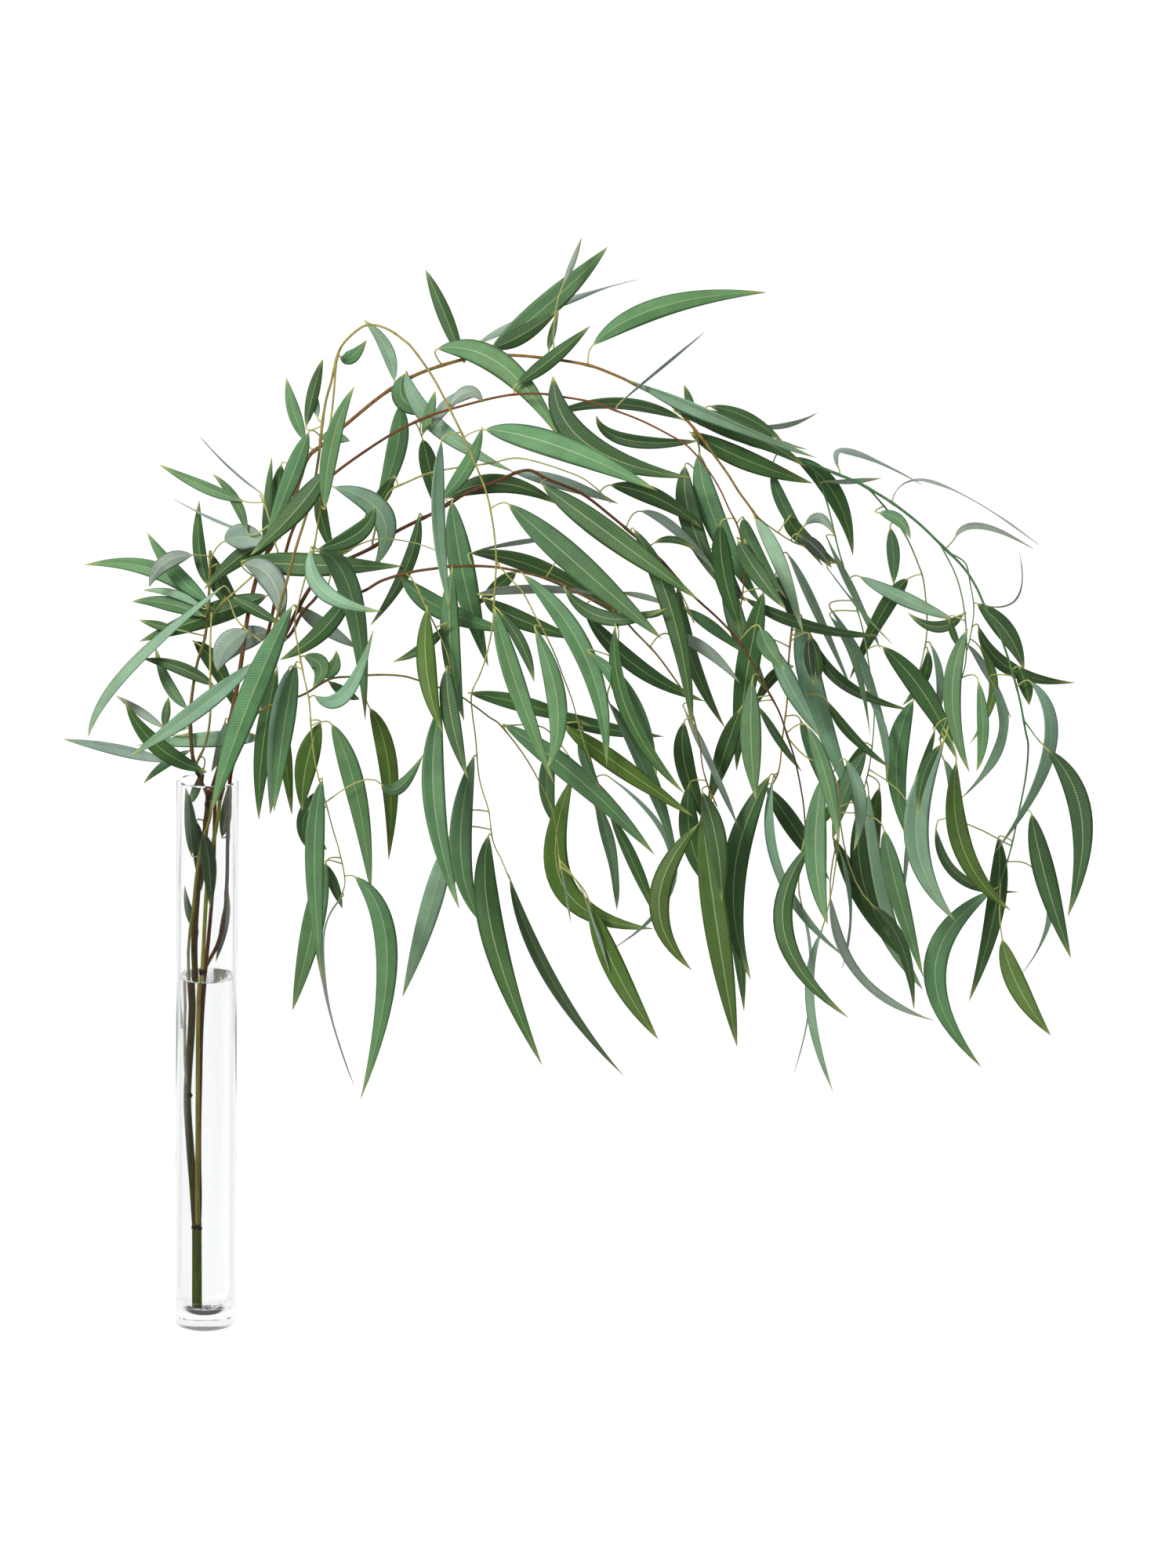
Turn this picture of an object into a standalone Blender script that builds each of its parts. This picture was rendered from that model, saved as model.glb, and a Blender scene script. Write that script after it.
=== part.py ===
"""A eucalyptus branch that stands in a tall, slim vase of clear glass, part filled with water.

The branch is one cut piece that forks low down in the vase. Its leafy stems arch over to
one side, and long sickle-shaped leaves hang from them. Lengths are in millimetres.
Every route below was read off the front view, on the upright plane through the vase's axis,
and each point's third number is how far behind that plane it lies.
"""

import math
import random

import bmesh
import bpy
from mathutils import Vector
from mathutils.bvhtree import BVHTree

MM = 0.001

# The vase
VASE_HEIGHT = 500.0
VASE_RADIUS = 27.0
GLASS_WALL = 3.0
GLASS_FLOOR = 13.0
FLOOR_FLAT = 12.0  # the inner floor is flat out to this radius, then rises as a bowl
BOWL_RISE = 25.0
FOOT_ROUNDING = 2.5
VASE_STEPS = 28

# The water
WATER_TOP = 322.0
WATER_GAP = 0.3
STEM_HOLE_GAP = 0.45
STEM_HOLE_PAST = 6.0

# Where the front view is seen from, which turns a point read off it into a real one
EYE = Vector((332.0, -3320.0, 1241.0))

# The branch fans out in depth: away from the mouth, the depths of its routes count this much
DEPTH_SPREAD = 1.9
SPREAD_START = 40.0  # how far from the middle of the mouth this begins, and where it is full
SPREAD_FULL = 260.0

# How a leafy stem sits on what it grows from: end to end on a short stub
STUB = 11.0
SEAT_GAP = 0.9

# A leaf blade: where its sections lie, from the leaf stalk's end to the tip, and how wide each is
BLADE_STATIONS = ((0.0, 0.13), (0.2, 0.78), (0.5, 1.0), (0.79, 0.62))
SHORT_STATIONS = ((0.0, 0.13), (0.26, 0.86), (0.66, 0.86))
SHORT_LEAF = 45.0
BLADE_THICK = 1.0  # at the midrib, which is a keel under the blade
STALK_WIDTH = 1.3
SLIM_BLADE = 0.085  # a leaf seen edge-on is really at least this share of its length wide
WIDEST_SLIM_BLADE = 13.0
LEAST_ROLL = 0.12  # every blade is rolled about its length by at least this, in radians
BLADE_TWIST = 0.07  # the most that a blade turns between stalk and tip, in radians
DIRECTION_STEP = 0.04  # the share of a blade over which its direction is taken
LEAF_SEED = 23

# How a leaf is bent in depth until it is clear of the others
CLEAR = 0.8  # how far it keeps from them
TRIES = 90
FIRST_LEAN = (0.05, 0.4)  # the share of its length that a leaf leans forward or back at first
LEAN_STEP = 0.03  # how much further it leans at every second try
MOST_LEAN = 0.8
STEADY_TRIES = 12  # after these, every second try leans the other way
FLAT_LEAN = 0.3  # at every second try the blade itself has only this share of the lean
STALK_REACH = 30.0  # the length of stalk over which the lean counts before the blade

# How the stems are drawn
FINE_SPACING = 2.5
ROOT_STEP = 2  # things grow from every second fine point, so that none are too near each other
COLLAR = 1.0  # half the length of the short stretch of stem that a leaf or twig grows from
COLLAR_REACH = 1.6  # a collar's faces lie within this many radii of its middle
NEAR_PLACES = 20  # how far along its stem, in fine points, a twig is kept clear of it
TWIG_START = 0.6  # how far outside its stem's surface a twig has its full width
STALK_START = 1.3  # how far outside its stem's surface a leaf stalk is read, before or behind it
POINT_SPACING = 36.0
THIN_STEM = 3.0  # up to this radius a stem has four sides, and past it six
WELD = 0.00001  # points nearer than this are one, in metres

# Each stem: the node it belongs to, the node it grows from, its radius at both ends, its route
STEMS = [
    ("base_stem", "", 4.6, 4.3, ((-7.7, 14.7, -8), (-7.8, 50, -8), (-8, 90, -7), (-8, 97, -6.5))),
    ("base_stem", "base_stem", 3.7, 2.6, (
        (-8, 84, -6), (-11, 130, -4), (-14, 171, -2), (-16, 216, -1), (-12.5, 280, 0), (-11.5, 340, 0),
        (-10, 380, 0), (-6, 425, 0), (-2, 450, 0), (0, 470, 0), (1, 486, 0))),
    ("base_stem", "base_stem", 2.2, 1.9, (
        (-7.5, 86, -8.5), (-8, 130, -11.5), (-8, 171, -12), (-8, 280, -12), (-6.5, 310, -12),
        (-4, 329, -12))),
    ("base_stem", "base_stem", 1.8, 1.7, (
        (-4.5, 324, -12), (-3, 345, -12.5), (-1.5, 380, -13), (1, 420, -13), (4, 437, -12.5),
        (9, 465, -11), (11, 484, -10))),
    ("base_stem", "base_stem", 1.7, 1.6, (
        (-4.5, 324, -12), (2, 336, -10), (10, 353, -7), (15.5, 378, -5), (17.5, 410, -4), (18, 441, -3),
        (19, 470, -3), (19.5, 484, -3))),
    ("base_stem", "base_stem", 1.9, 1.7, (
        (-6, 88, -4), (-4, 120, 4), (-3, 165, 8), (0, 220, 10), (3, 300, 11), (6, 400, 10), (7, 484, 9))),
    ("base_stem", "base_stem", 1.4, 1.3, (
        (-15.5, 212, -1), (-18.5, 240, -4), (-19.5, 270, -5), (-19.5, 290, -6), (-18, 320, -7),
        (-15, 360, -9), (-12, 385, -10), (-9, 415, -13), (-4, 445, -16), (2, 465, -18), (4, 484, -18))),
    ("left_spray", "base_stem", 2.0, 1.2, (
        (1, 482, 0), (-6, 500, 3), (-13, 520, 6), (-15, 560, 8), (-10, 600, 10), (-3, 625, 12),
        (0, 650, 12), (1, 675, 12), (2, 702, 12))),
    ("left_spray", "left_spray", 1.4, 1.0, (
        (-11, 512, 5), (-2, 532, 1), (2, 556, -2), (2, 590, -4), (2, 625, -2), (3, 648, 0))),
    ("left_spray", "left_spray", 1.2, 0.9, (
        (0, 640, 12), (10, 655, 7), (20, 664, 3), (35, 678, -3), (47, 690, -8))),
    ("left_spray", "left_spray", 1.0, 0.8, (
        (17, 662, 4), (24, 644, -4), (33, 634, -10), (46, 624, -14))),
    ("high_arch", "base_stem", 2.6, 0.8, (
        (7, 482, 9), (13, 520, 14), (22, 565, 18), (28, 600, 22), (35, 650, 25), (45, 690, 27),
        (60, 718, 28), (72, 745, 28), (84, 783, 28), (98, 797, 28), (118, 815, 28), (150, 842, 28),
        (180, 860, 27), (222, 874, 25), (250, 877, 22), (280, 876, 20), (320, 871, 16), (345, 863, 14),
        (365, 854, 12), (395, 838, 10), (418, 815, 8), (432, 797, 6), (445, 780, 4), (455, 765, 2),
        (470, 745, 0), (482, 722, 0), (492, 703, 0), (502, 685, 0), (507, 668, 0), (505, 650, 0),
        (503, 620, 0), (503, 585, 0), (500, 550, 0), (498, 522, 0), (491, 505, -2))),
    ("high_arch", "high_arch", 1.1, 0.7, (
        (414, 819, 8), (420, 800, 16), (417, 780, 22), (420, 745, 28), (430, 715, 32), (446, 690, 34))),
    ("high_arch", "high_arch", 0.9, 0.7, (
        (470, 745, 0), (483, 735, 8), (505, 722, 14), (528, 716, 18))),
    ("far_spray", "high_arch", 1.8, 0.8, (
        (402, 832, 10), (440, 814, 20), (475, 803, 22), (518, 790, 20), (540, 782, 16), (558, 775, 12),
        (585, 760, 8), (610, 742, 4), (632, 722, 0), (650, 705, -4), (662, 688, -6), (672, 668, -8),
        (683, 650, -8), (692, 628, -8), (699, 608, -8), (705, 588, -8), (711, 562, -6), (714, 548, -4),
        (713, 520, -2), (708, 485, 0), (703, 455, 2), (697, 432, 3), (694, 418, 4))),
    ("far_spray", "far_spray", 1.0, 0.7, (
        (566, 771, 11), (585, 750, 20), (600, 730, 24), (612, 705, 26), (617, 690, 26), (621, 660, 26),
        (621, 640, 26), (617, 615, 26), (612, 598, 26))),
    ("far_spray", "far_spray", 0.9, 0.6, (
        (629, 725, 0), (643, 700, -14), (650, 680, -20), (654, 660, -22), (656, 640, -22),
        (656, 620, -22), (652, 603, -22), (647, 588, -20), (641, 568, -18), (636, 552, -16))),
    ("far_spray", "far_spray", 0.8, 0.6, (
        (638, 717, -1), (652, 708, 10), (657, 690, 14), (661, 670, 16), (660, 650, 16), (657, 632, 16))),
    ("far_spray", "far_spray", 1.0, 0.6, (
        (516, 791, 20), (530, 760, 30), (543, 715, 32), (556, 678, 30), (566, 648, 28), (573, 615, 26),
        (578, 585, 24), (579, 560, 22), (577, 530, 20), (573, 508, 18))),
    ("far_spray", "far_spray", 0.8, 0.6, (
        (709, 572, -7), (722, 555, -14), (730, 548, -16))),
    ("second_arch", "base_stem", 2.1, 0.7, (
        (19.5, 482, -3), (19.8, 503, -3), (24.5, 522, -2), (34, 550, 0), (45, 600, 6), (58, 660, 8),
        (66, 700, 8), (75, 728, 8), (93, 757, 8), (108, 772, 8), (130, 789, 8), (158, 808, 8), (185, 822, 6),
        (207, 830, 4), (250, 842, 0), (280, 845, -2), (300, 843, -4), (327, 839, -6), (345, 833, -8),
        (370, 824, -10), (395, 812, -12), (410, 803, -14), (425, 787, -16), (438, 768, -18),
        (447, 750, -18), (455, 735, -18), (461, 712, -18), (462, 690, -18), (460, 665, -18))),
    ("second_arch", "second_arch", 1.1, 0.8, (
        (57, 656, 8), (62, 690, -2), (57, 712, -5), (50, 738, -5), (44, 752, -5))),
    ("middle_arch", "base_stem", 2.5, 0.8, (
        (1, 482, 0), (8, 505, 0), (18, 540, -4), (28, 570, -6), (38, 590, -7), (50, 608, -7),
        (62, 622, -7), (75, 648, -6), (88, 672, -4), (104, 690, -3), (118, 697, -2), (140, 708, -2),
        (160, 722, -2), (180, 733, -2), (195, 741, -4), (220, 757, -8), (245, 768, -12),
        (272, 779, -16), (290, 772, -18), (320, 760, -20), (345, 742, -21), (372, 720, -22),
        (392, 702, -23), (412, 680, -24), (425, 668, -24), (440, 655, -24), (455, 640, -24),
        (463, 630, -24), (478, 605, -24), (487, 590, -24), (497, 572, -24), (505, 550, -24),
        (512, 530, -24), (519, 500, -24), (522, 480, -24), (524, 455, -24))),
    ("middle_arch", "middle_arch", 1.2, 0.7, (
        (140, 708, -2), (146, 735, 2), (155, 757, 3), (168, 765, 3), (195, 776, 0), (240, 784, -3),
        (268, 789, -6), (312, 777, -8), (330, 767, -10), (345, 753, -12))),
    ("middle_arch", "middle_arch", 0.9, 0.7, (
        (392, 702, -23), (400, 690, -10), (412, 668, -4), (420, 650, -2))),
    ("middle_arch", "middle_arch", 0.9, 0.6, (
        (505, 550, -24), (520, 535, -30), (545, 520, -34), (552, 490, -34), (552, 455, -32))),
    ("low_arch", "middle_arch", 1.8, 0.7, (
        (60, 620, -7), (72, 632, -18), (80, 648, -24), (90, 660, -27), (100, 668, -29), (130, 669, -31),
        (150, 680, -31), (175, 688, -31), (197, 692, -30), (210, 694, -29), (250, 694, -24),
        (297, 684, -24), (320, 673, -26), (350, 660, -28), (370, 640, -30), (388, 622, -32),
        (405, 600, -34), (413, 588, -34), (421, 570, -34), (428, 545, -34), (431, 525, -34),
        (436, 508, -34), (445, 488, -34))),
    ("low_arch", "low_arch", 0.9, 0.6, (
        (172, 687, -31), (180, 675, -40), (187, 660, -44), (198, 638, -46), (207, 618, -46),
        (210, 600, -46), (206, 582, -46), (202, 568, -46))),
    ("low_arch", "low_arch", 0.8, 0.6, (
        (102, 668, -29), (108, 690, -24), (120, 705, -22), (145, 716, -20), (175, 714, -20),
        (195, 708, -20))),
    ("low_arch", "low_arch", 0.8, 0.6, (
        (350, 660, -28), (355, 640, -40), (353, 615, -46), (350, 590, -48))),
    ("lowest_arch", "base_stem", 1.5, 0.6, (
        (4, 482, -18), (12, 512, -23), (24, 540, -29), (40, 558, -32), (60, 570, -33), (83, 578, -33),
        (105, 592, -33), (125, 595, -33), (145, 597, -32), (165, 597, -30), (180, 594, -26),
        (215, 582, -18), (230, 573, -16), (245, 562, -16), (255, 555, -16), (275, 530, -16),
        (290, 505, -16), (300, 485, -16), (304, 470, -16), (308, 440, -16), (309, 425, -16))),
    ("lowest_arch", "lowest_arch", 0.8, 0.6, (
        (255, 555, -16), (285, 556, -8), (300, 548, -4), (318, 525, 0), (332, 505, 2), (340, 480, 4))),
    ("front_arch", "base_stem", 1.8, 0.6, (
        (11, 482, -10), (20, 520, -15), (34, 565, -21), (50, 610, -27), (62, 655, -31), (75, 705, -35),
        (88, 750, -38), (94, 785, -40), (97, 815, -41), (100, 835, -41), (104, 850, -42),
        (108, 868, -42), (112, 880, -43), (120, 890, -43), (130, 898, -44), (137, 900, -44),
        (145, 899, -44), (155, 895, -45), (165, 888, -45), (173, 881, -46), (190, 858, -46),
        (203, 835, -46), (218, 806, -45), (228, 784, -44), (238, 760, -42), (243, 740, -41),
        (246, 722, -40), (248, 700, -40), (247, 670, -40), (246, 645, -40), (242, 620, -38),
        (236, 600, -37), (229, 583, -36), (230, 565, -36), (233, 545, -36), (236, 515, -35),
        (239, 500, -34), (246, 478, -34), (250, 452, -33), (258, 435, -32), (265, 418, -32))),
    ("front_arch", "front_arch", 1.1, 0.6, (
        (108, 866, -42), (106, 835, -49), (102, 800, -54), (98, 765, -58), (95, 735, -60),
        (91, 708, -62), (86, 690, -62), (79, 662, -62), (75, 640, -62), (79, 615, -62), (83, 595, -62),
        (88, 572, -62), (90, 548, -61), (93, 522, -60), (98, 500, -58), (104, 480, -56),
        (110, 458, -54), (116, 438, -52), (121, 412, -50), (117, 397, -49))),
    ("front_arch", "front_arch", 0.9, 0.6, (
        (248, 698, -40), (262, 683, -46), (272, 672, -50), (283, 652, -54), (290, 640, -56),
        (300, 620, -56), (308, 600, -56), (316, 580, -56), (322, 560, -56), (328, 540, -56),
        (334, 525, -56))),
]

# Each leaf: its colour, then where the blade starts, its middle and its tip are seen, and how
# wide it looks. A capital letter lies in front. K dark, B blue-green, P pale, G grey, O olive.
LEAVES = [
    # beside and in the mouth of the vase
    ("B", 72, 655, 34, 565, 3, 470, 17), ("p", 70, 600, 62, 540, 55, 470, 15),
    ("k", 60, 600, 48, 530, 45, 465, 12), ("b", 76, 605, 66, 545, 58, 472, 13),
    ("P", 40, 605, -12, 560, -68, 519, 12), ("p", 45, 538, 0, 536, -62, 529, 11),
    ("G", -34, 515, -80, 525, -126, 533, 8), ("K", -3, 508, -45, 530, -72, 568, 12),
    ("g", -38, 545, -60, 560, -80, 573, 6), ("k", -38, 545, -36, 560, -34, 573, 6),
    ("b", -15, 526, -38, 512, -56, 495, 6), ("b", -18, 563, -35, 585, -46, 618, 8),
    ("k", 5, 584, -25, 599, -57, 606, 9), ("k", -12, 622, 8, 600, 24, 562, 12),
    ("P", 12, 671, -72, 595, -104, 535, 9), ("K", 50, 664, 0, 645, -60, 621, 16),
    ("G", 34, 632, 16, 618, 8, 596, 17), ("k", -30, 633, -44, 636, -60, 640, 6),
    ("b", -4, 645, -35, 655, -66, 656, 10), ("p", -5, 652, -30, 664, -57, 666, 6),
    ("b", 0, 652, -45, 684, -107, 687, 12), ("b", 0, 658, -28, 682, -53, 717, 11),
    ("G", -14, 698, -38, 690, -51, 669, 11), ("k", 0, 672, -8, 705, -8, 746, 9),
    ("G", 14, 711, 32, 715, 50, 708, 18), ("K", 60, 714, 28, 698, -4, 668, 12),
    ("G", 31, 691, 55, 678, 64, 640, 17), ("K", 30, 694, 90, 692, 168, 693, 16),
    ("b", 33, 720, 22, 748, 3, 769, 7), ("b", 30, 746, -5, 758, -43, 776, 8),
    ("g", 48, 715, 10, 728, -30, 746, 3), ("g", 44, 754, 16, 777, -8, 801, 2),
    ("b", 48, 706, 51, 748, 54, 785, 6), ("k", 62, 778, 57, 745, 47, 702, 10),
    ("B", 85, 806, 70, 765, 48, 708, 12), ("K", 100, 774, 74, 738, 36, 699, 14),
    ("k", 62, 640, 34, 655, 22, 662, 8), ("k", 8, 690, 6, 672, 18, 655, 7),
    ("k", -3, 512, -14, 480, -24, 470, 7), ("g", 15, 552, 12, 530, 3, 507, 8),
    # between the vase and the front arch
    ("b", 82, 800, 72, 826, 66, 853, 9), ("k", 83, 812, 90, 845, 97, 870, 8),
    ("p", 93, 820, 91, 832, 90, 844, 5), ("B", 100, 742, 106, 800, 124, 847, 11),
    ("p", 96, 802, 108, 803, 121, 800, 9), ("P", 108, 760, 150, 735, 142, 690, 16),
    ("b", 112, 872, 122, 873, 134, 887, 9), ("p", 158, 853, 150, 882, 131, 904, 9),
    ("P", 168, 860, 195, 815, 262, 777, 12), ("B", 166, 858, 168, 835, 200, 828, 14),
    ("g", 205, 832, 222, 845, 234, 836, 9), ("g", 192, 815, 205, 835, 226, 846, 8),
    ("b", 163, 832, 160, 790, 142, 738, 14), ("k", 158, 770, 148, 752, 134, 735, 9),
    ("k", 183, 803, 190, 775, 197, 740, 12), ("b", 183, 808, 189, 828, 193, 845, 7),
    ("B", 200, 752, 222, 782, 234, 816, 10), ("P", 199, 802, 197, 735, 209, 655, 10),
    ("k", 205, 753, 250, 767, 300, 750, 13), ("k", 96, 760, 98, 730, 110, 700, 9),
    ("K", 181, 738, 170, 690, 140, 640, 9), ("P", 88, 705, 101, 668, 150, 653, 11),
    ("b", 95, 704, 124, 665, 137, 556, 15), ("g", 76, 656, 102, 637, 130, 620, 10),
    ("k", 124, 672, 98, 634, 62, 608, 12), ("p", 93, 577, 120, 580, 143, 637, 10),
    ("b", 83, 612, 98, 603, 91, 584, 12), ("b", 95, 598, 108, 602, 111, 618, 10),
    ("k", 95, 706, 130, 722, 142, 745, 12), ("o", 100, 700, 125, 715, 150, 748, 9),
    ("k", 105, 590, 120, 580, 132, 575, 7), ("b", 108, 552, 130, 492, 144, 402, 14),
    ("o", 98, 553, 86, 515, 83, 474, 15), ("O", 141, 567, 158, 515, 159, 432, 13),
    ("b", 152, 500, 168, 498, 188, 528, 9), ("B", 100, 502, 94, 430, 102, 318, 13),
    ("b", 104, 428, 92, 365, 76, 293, 15), ("g", 118, 397, 101, 335, 131, 226, 4),
    ("k", 104, 427, 112, 407, 119, 387, 7), ("B", 130, 416, 159, 345, 137, 212, 15),
    ("k", 90, 478, 92, 455, 105, 440, 12), ("o", 63, 560, 68, 520, 74, 470, 9),
    # the upper edge, along the high arch
    ("k", 216, 872, 198, 915, 183, 948, 10), ("B", 195, 881, 250, 868, 301, 806, 17),
    ("g", 228, 886, 290, 920, 363, 944, 6), ("b", 240, 882, 292, 925, 337, 971, 16),
    ("k", 242, 883, 268, 896, 297, 917, 12), ("g", 300, 938, 308, 958, 315, 979, 4),
    ("k", 289, 882, 292, 898, 297, 918, 5), ("k", 262, 852, 293, 876, 324, 904, 10),
    ("b", 327, 888, 385, 922, 473, 936, 14), ("g", 352, 840, 387, 870, 421, 901, 3),
    ("K", 294, 858, 325, 802, 415, 776, 17), ("k", 405, 826, 345, 838, 286, 824, 9),
    ("k", 418, 808, 355, 808, 331, 828, 9), ("P", 362, 857, 440, 826, 520, 796, 9),
    ("k", 412, 830, 410, 842, 405, 856, 6), ("g", 468, 822, 495, 824, 520, 835, 4),
    ("k", 428, 838, 462, 828, 492, 808, 8), ("K", 400, 832, 455, 818, 512, 788, 14),
    ("k", 412, 815, 462, 792, 518, 774, 14), ("g", 470, 812, 490, 808, 512, 803, 3),
    ("B", 237, 813, 300, 800, 385, 764, 17), ("g", 262, 777, 305, 768, 352, 752, 9),
    ("K", 287, 766, 350, 722, 424, 670, 16), ("k", 345, 768, 385, 758, 424, 733, 12),
    ("B", 258, 749, 322, 695, 393, 635, 18), ("k", 502, 796, 537, 765, 555, 712, 13),
    # the middle: leaves that hang from the second and middle arches
    ("K", 408, 786, 416, 735, 445, 680, 15), ("B", 420, 797, 436, 738, 478, 667, 16),
    ("b", 483, 783, 497, 748, 530, 702, 9), ("P", 470, 742, 492, 705, 515, 642, 10),
    ("k", 440, 737, 445, 692, 462, 643, 14), ("B", 446, 702, 459, 645, 488, 588, 13),
    ("b", 460, 742, 470, 715, 500, 672, 10), ("k", 500, 745, 508, 730, 545, 703, 11),
    ("g", 372, 746, 402, 730, 442, 690, 7), ("k", 384, 719, 402, 722, 422, 712, 5),
    ("K", 366, 730, 402, 655, 422, 552, 13), ("k", 405, 682, 418, 620, 450, 558, 11),
    ("b", 412, 662, 438, 645, 465, 624, 8), ("g", 397, 640, 430, 627, 462, 597, 8),
    ("g", 355, 675, 380, 671, 398, 664, 4), ("k", 366, 657, 385, 657, 405, 666, 5),
    ("k", 479, 678, 467, 605, 461, 520, 16), ("k", 505, 613, 488, 602, 474, 574, 8),
    ("k", 462, 574, 450, 535, 437, 488, 13), ("k", 463, 673, 520, 650, 581, 643, 9),
    ("B", 209, 750, 221, 682, 243, 607, 17), ("B", 210, 690, 210, 625, 223, 558, 13),
    ("b", 167, 683, 205, 655, 263, 638, 14), ("O", 189, 656, 190, 600, 204, 548, 13),
    ("K", 207, 604, 212, 560, 227, 507, 12), ("k", 207, 643, 186, 622, 160, 609, 7),
    ("k", 226, 706, 290, 692, 362, 650, 12), ("g", 234, 671, 285, 677, 342, 672, 7),
    ("k", 238, 666, 272, 648, 322, 633, 12), ("B", 272, 688, 328, 615, 348, 521, 14),
    ("g", 300, 722, 262, 716, 228, 707, 4), ("k", 265, 690, 250, 678, 232, 660, 9),
    ("k", 326, 656, 372, 610, 432, 581, 12), ("K", 352, 645, 366, 568, 417, 498, 11),
    ("B", 330, 622, 370, 575, 392, 512, 11), ("k", 228, 583, 280, 573, 335, 556, 11),
    ("k", 286, 571, 340, 556, 397, 549, 10), ("B", 283, 641, 304, 572, 296, 518, 13),
    ("b", 300, 540, 296, 500, 306, 465, 11), ("P", 248, 656, 268, 590, 303, 503, 13),
    ("k", 252, 655, 272, 626, 283, 594, 8), ("b", 326, 553, 330, 525, 344, 500, 8),
    # the lower edge: long leaves that hang free
    ("B", 202, 570, 198, 485, 222, 389, 15), ("p", 213, 456, 195, 385, 173, 308, 14),
    ("B", 232, 527, 222, 440, 243, 376, 15), ("K", 246, 456, 252, 365, 298, 248, 17),
    ("k", 266, 417, 306, 325, 370, 241, 10), ("O", 318, 509, 313, 412, 393, 376, 17),
    ("b", 336, 500, 354, 445, 360, 392, 9), ("k", 352, 478, 376, 430, 396, 384, 9),
    ("P", 350, 512, 408, 430, 353, 354, 6), ("B", 258, 556, 325, 508, 392, 443, 15),
    ("O", 336, 399, 362, 335, 400, 275, 15), ("g", 333, 400, 345, 365, 356, 334, 3),
    ("O", 428, 470, 397, 400, 428, 339, 14), ("O", 432, 482, 450, 372, 470, 270, 17),
    ("K", 450, 442, 465, 375, 475, 303, 11), ("K", 490, 516, 462, 425, 480, 332, 17),
    ("k", 420, 506, 424, 455, 444, 411, 14), ("o", 310, 556, 362, 520, 425, 478, 13),
    ("b", 349, 577, 383, 515, 413, 436, 11), ("k", 414, 562, 417, 520, 440, 468, 13),
    ("g", 413, 576, 437, 530, 465, 468, 6), ("k", 478, 578, 497, 548, 518, 521, 6),
    ("k", 488, 506, 515, 468, 546, 424, 13), ("P", 493, 513, 508, 420, 576, 345, 8),
    ("K", 530, 458, 508, 375, 568, 299, 13), ("p", 522, 402, 534, 330, 521, 247, 4),
    ("p", 540, 376, 534, 310, 556, 232, 8), ("g", 547, 410, 574, 338, 643, 299, 8),
    ("p", 553, 452, 566, 402, 560, 344, 4), ("B", 536, 516, 533, 445, 546, 384, 15),
    ("k", 548, 462, 580, 402, 620, 350, 13), ("k", 585, 402, 612, 365, 625, 308, 9),
    ("P", 577, 502, 590, 405, 632, 327, 17), ("k", 570, 492, 575, 425, 602, 374, 13),
    ("P", 556, 532, 570, 495, 566, 451, 9), ("o", 570, 546, 556, 510, 533, 468, 12),
    # the right-hand end
    ("b", 612, 586, 600, 530, 614, 461, 15), ("P", 640, 549, 620, 465, 658, 390, 17),
    ("k", 637, 473, 660, 430, 712, 418, 8), ("O", 652, 532, 662, 455, 706, 401, 14),
    ("k", 692, 466, 692, 400, 673, 317, 13), ("P", 688, 418, 642, 345, 687, 257, 16),
    ("O", 700, 374, 717, 330, 747, 288, 14), ("p", 722, 441, 742, 400, 718, 343, 5),
    ("K", 720, 488, 736, 428, 761, 359, 15), ("K", 731, 546, 764, 485, 756, 396, 15),
    ("P", 713, 606, 732, 545, 689, 452, 10), ("K", 664, 673, 691, 648, 707, 616, 13),
    ("k", 666, 653, 695, 617, 752, 606, 10), ("k", 703, 618, 709, 603, 713, 585, 10),
    ("b", 586, 737, 590, 712, 591, 688, 9), ("k", 603, 693, 583, 664, 556, 603, 11),
    ("P", 562, 694, 605, 674, 646, 658, 10), ("k", 652, 664, 630, 652, 604, 664, 8),
    ("P", 656, 649, 646, 590, 664, 524, 12), ("g", 657, 637, 676, 611, 698, 573, 6),
    ("o", 667, 636, 682, 598, 663, 549, 7), ("p", 678, 607, 692, 555, 656, 499, 8),
    ("k", 521, 643, 550, 600, 612, 578, 9), ("K", 584, 633, 622, 592, 651, 537, 15),
    ("p", 532, 727, 560, 675, 582, 631, 6), ("p", 537, 666, 576, 592, 597, 505, 8),
    ("P", 513, 657, 526, 590, 567, 488, 16), ("k", 521, 641, 528, 620, 530, 598, 7),
    ("P", 486, 634, 508, 592, 533, 552, 12), ("k", 538, 584, 562, 553, 597, 525, 7),
    ("b", 515, 567, 530, 530, 548, 488, 8), ("k", 623, 631, 620, 606, 603, 582, 8),
    ("p", 625, 637, 635, 600, 630, 560, 6), ("g", 540, 787, 548, 803, 612, 775, 5),
    ("g", 530, 776, 553, 777, 577, 780, 4), ("g", 587, 762, 625, 776, 714, 726, 3),
    ("g", 642, 730, 665, 740, 710, 722, 5), ("g", 674, 671, 699, 680, 698, 718, 2),
    ("p", 641, 535, 650, 510, 645, 483, 6),
    ("k", 632, 561, 624, 530, 611, 499, 5), ("k", 640, 660, 645, 645, 652, 632, 5),
]

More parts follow.
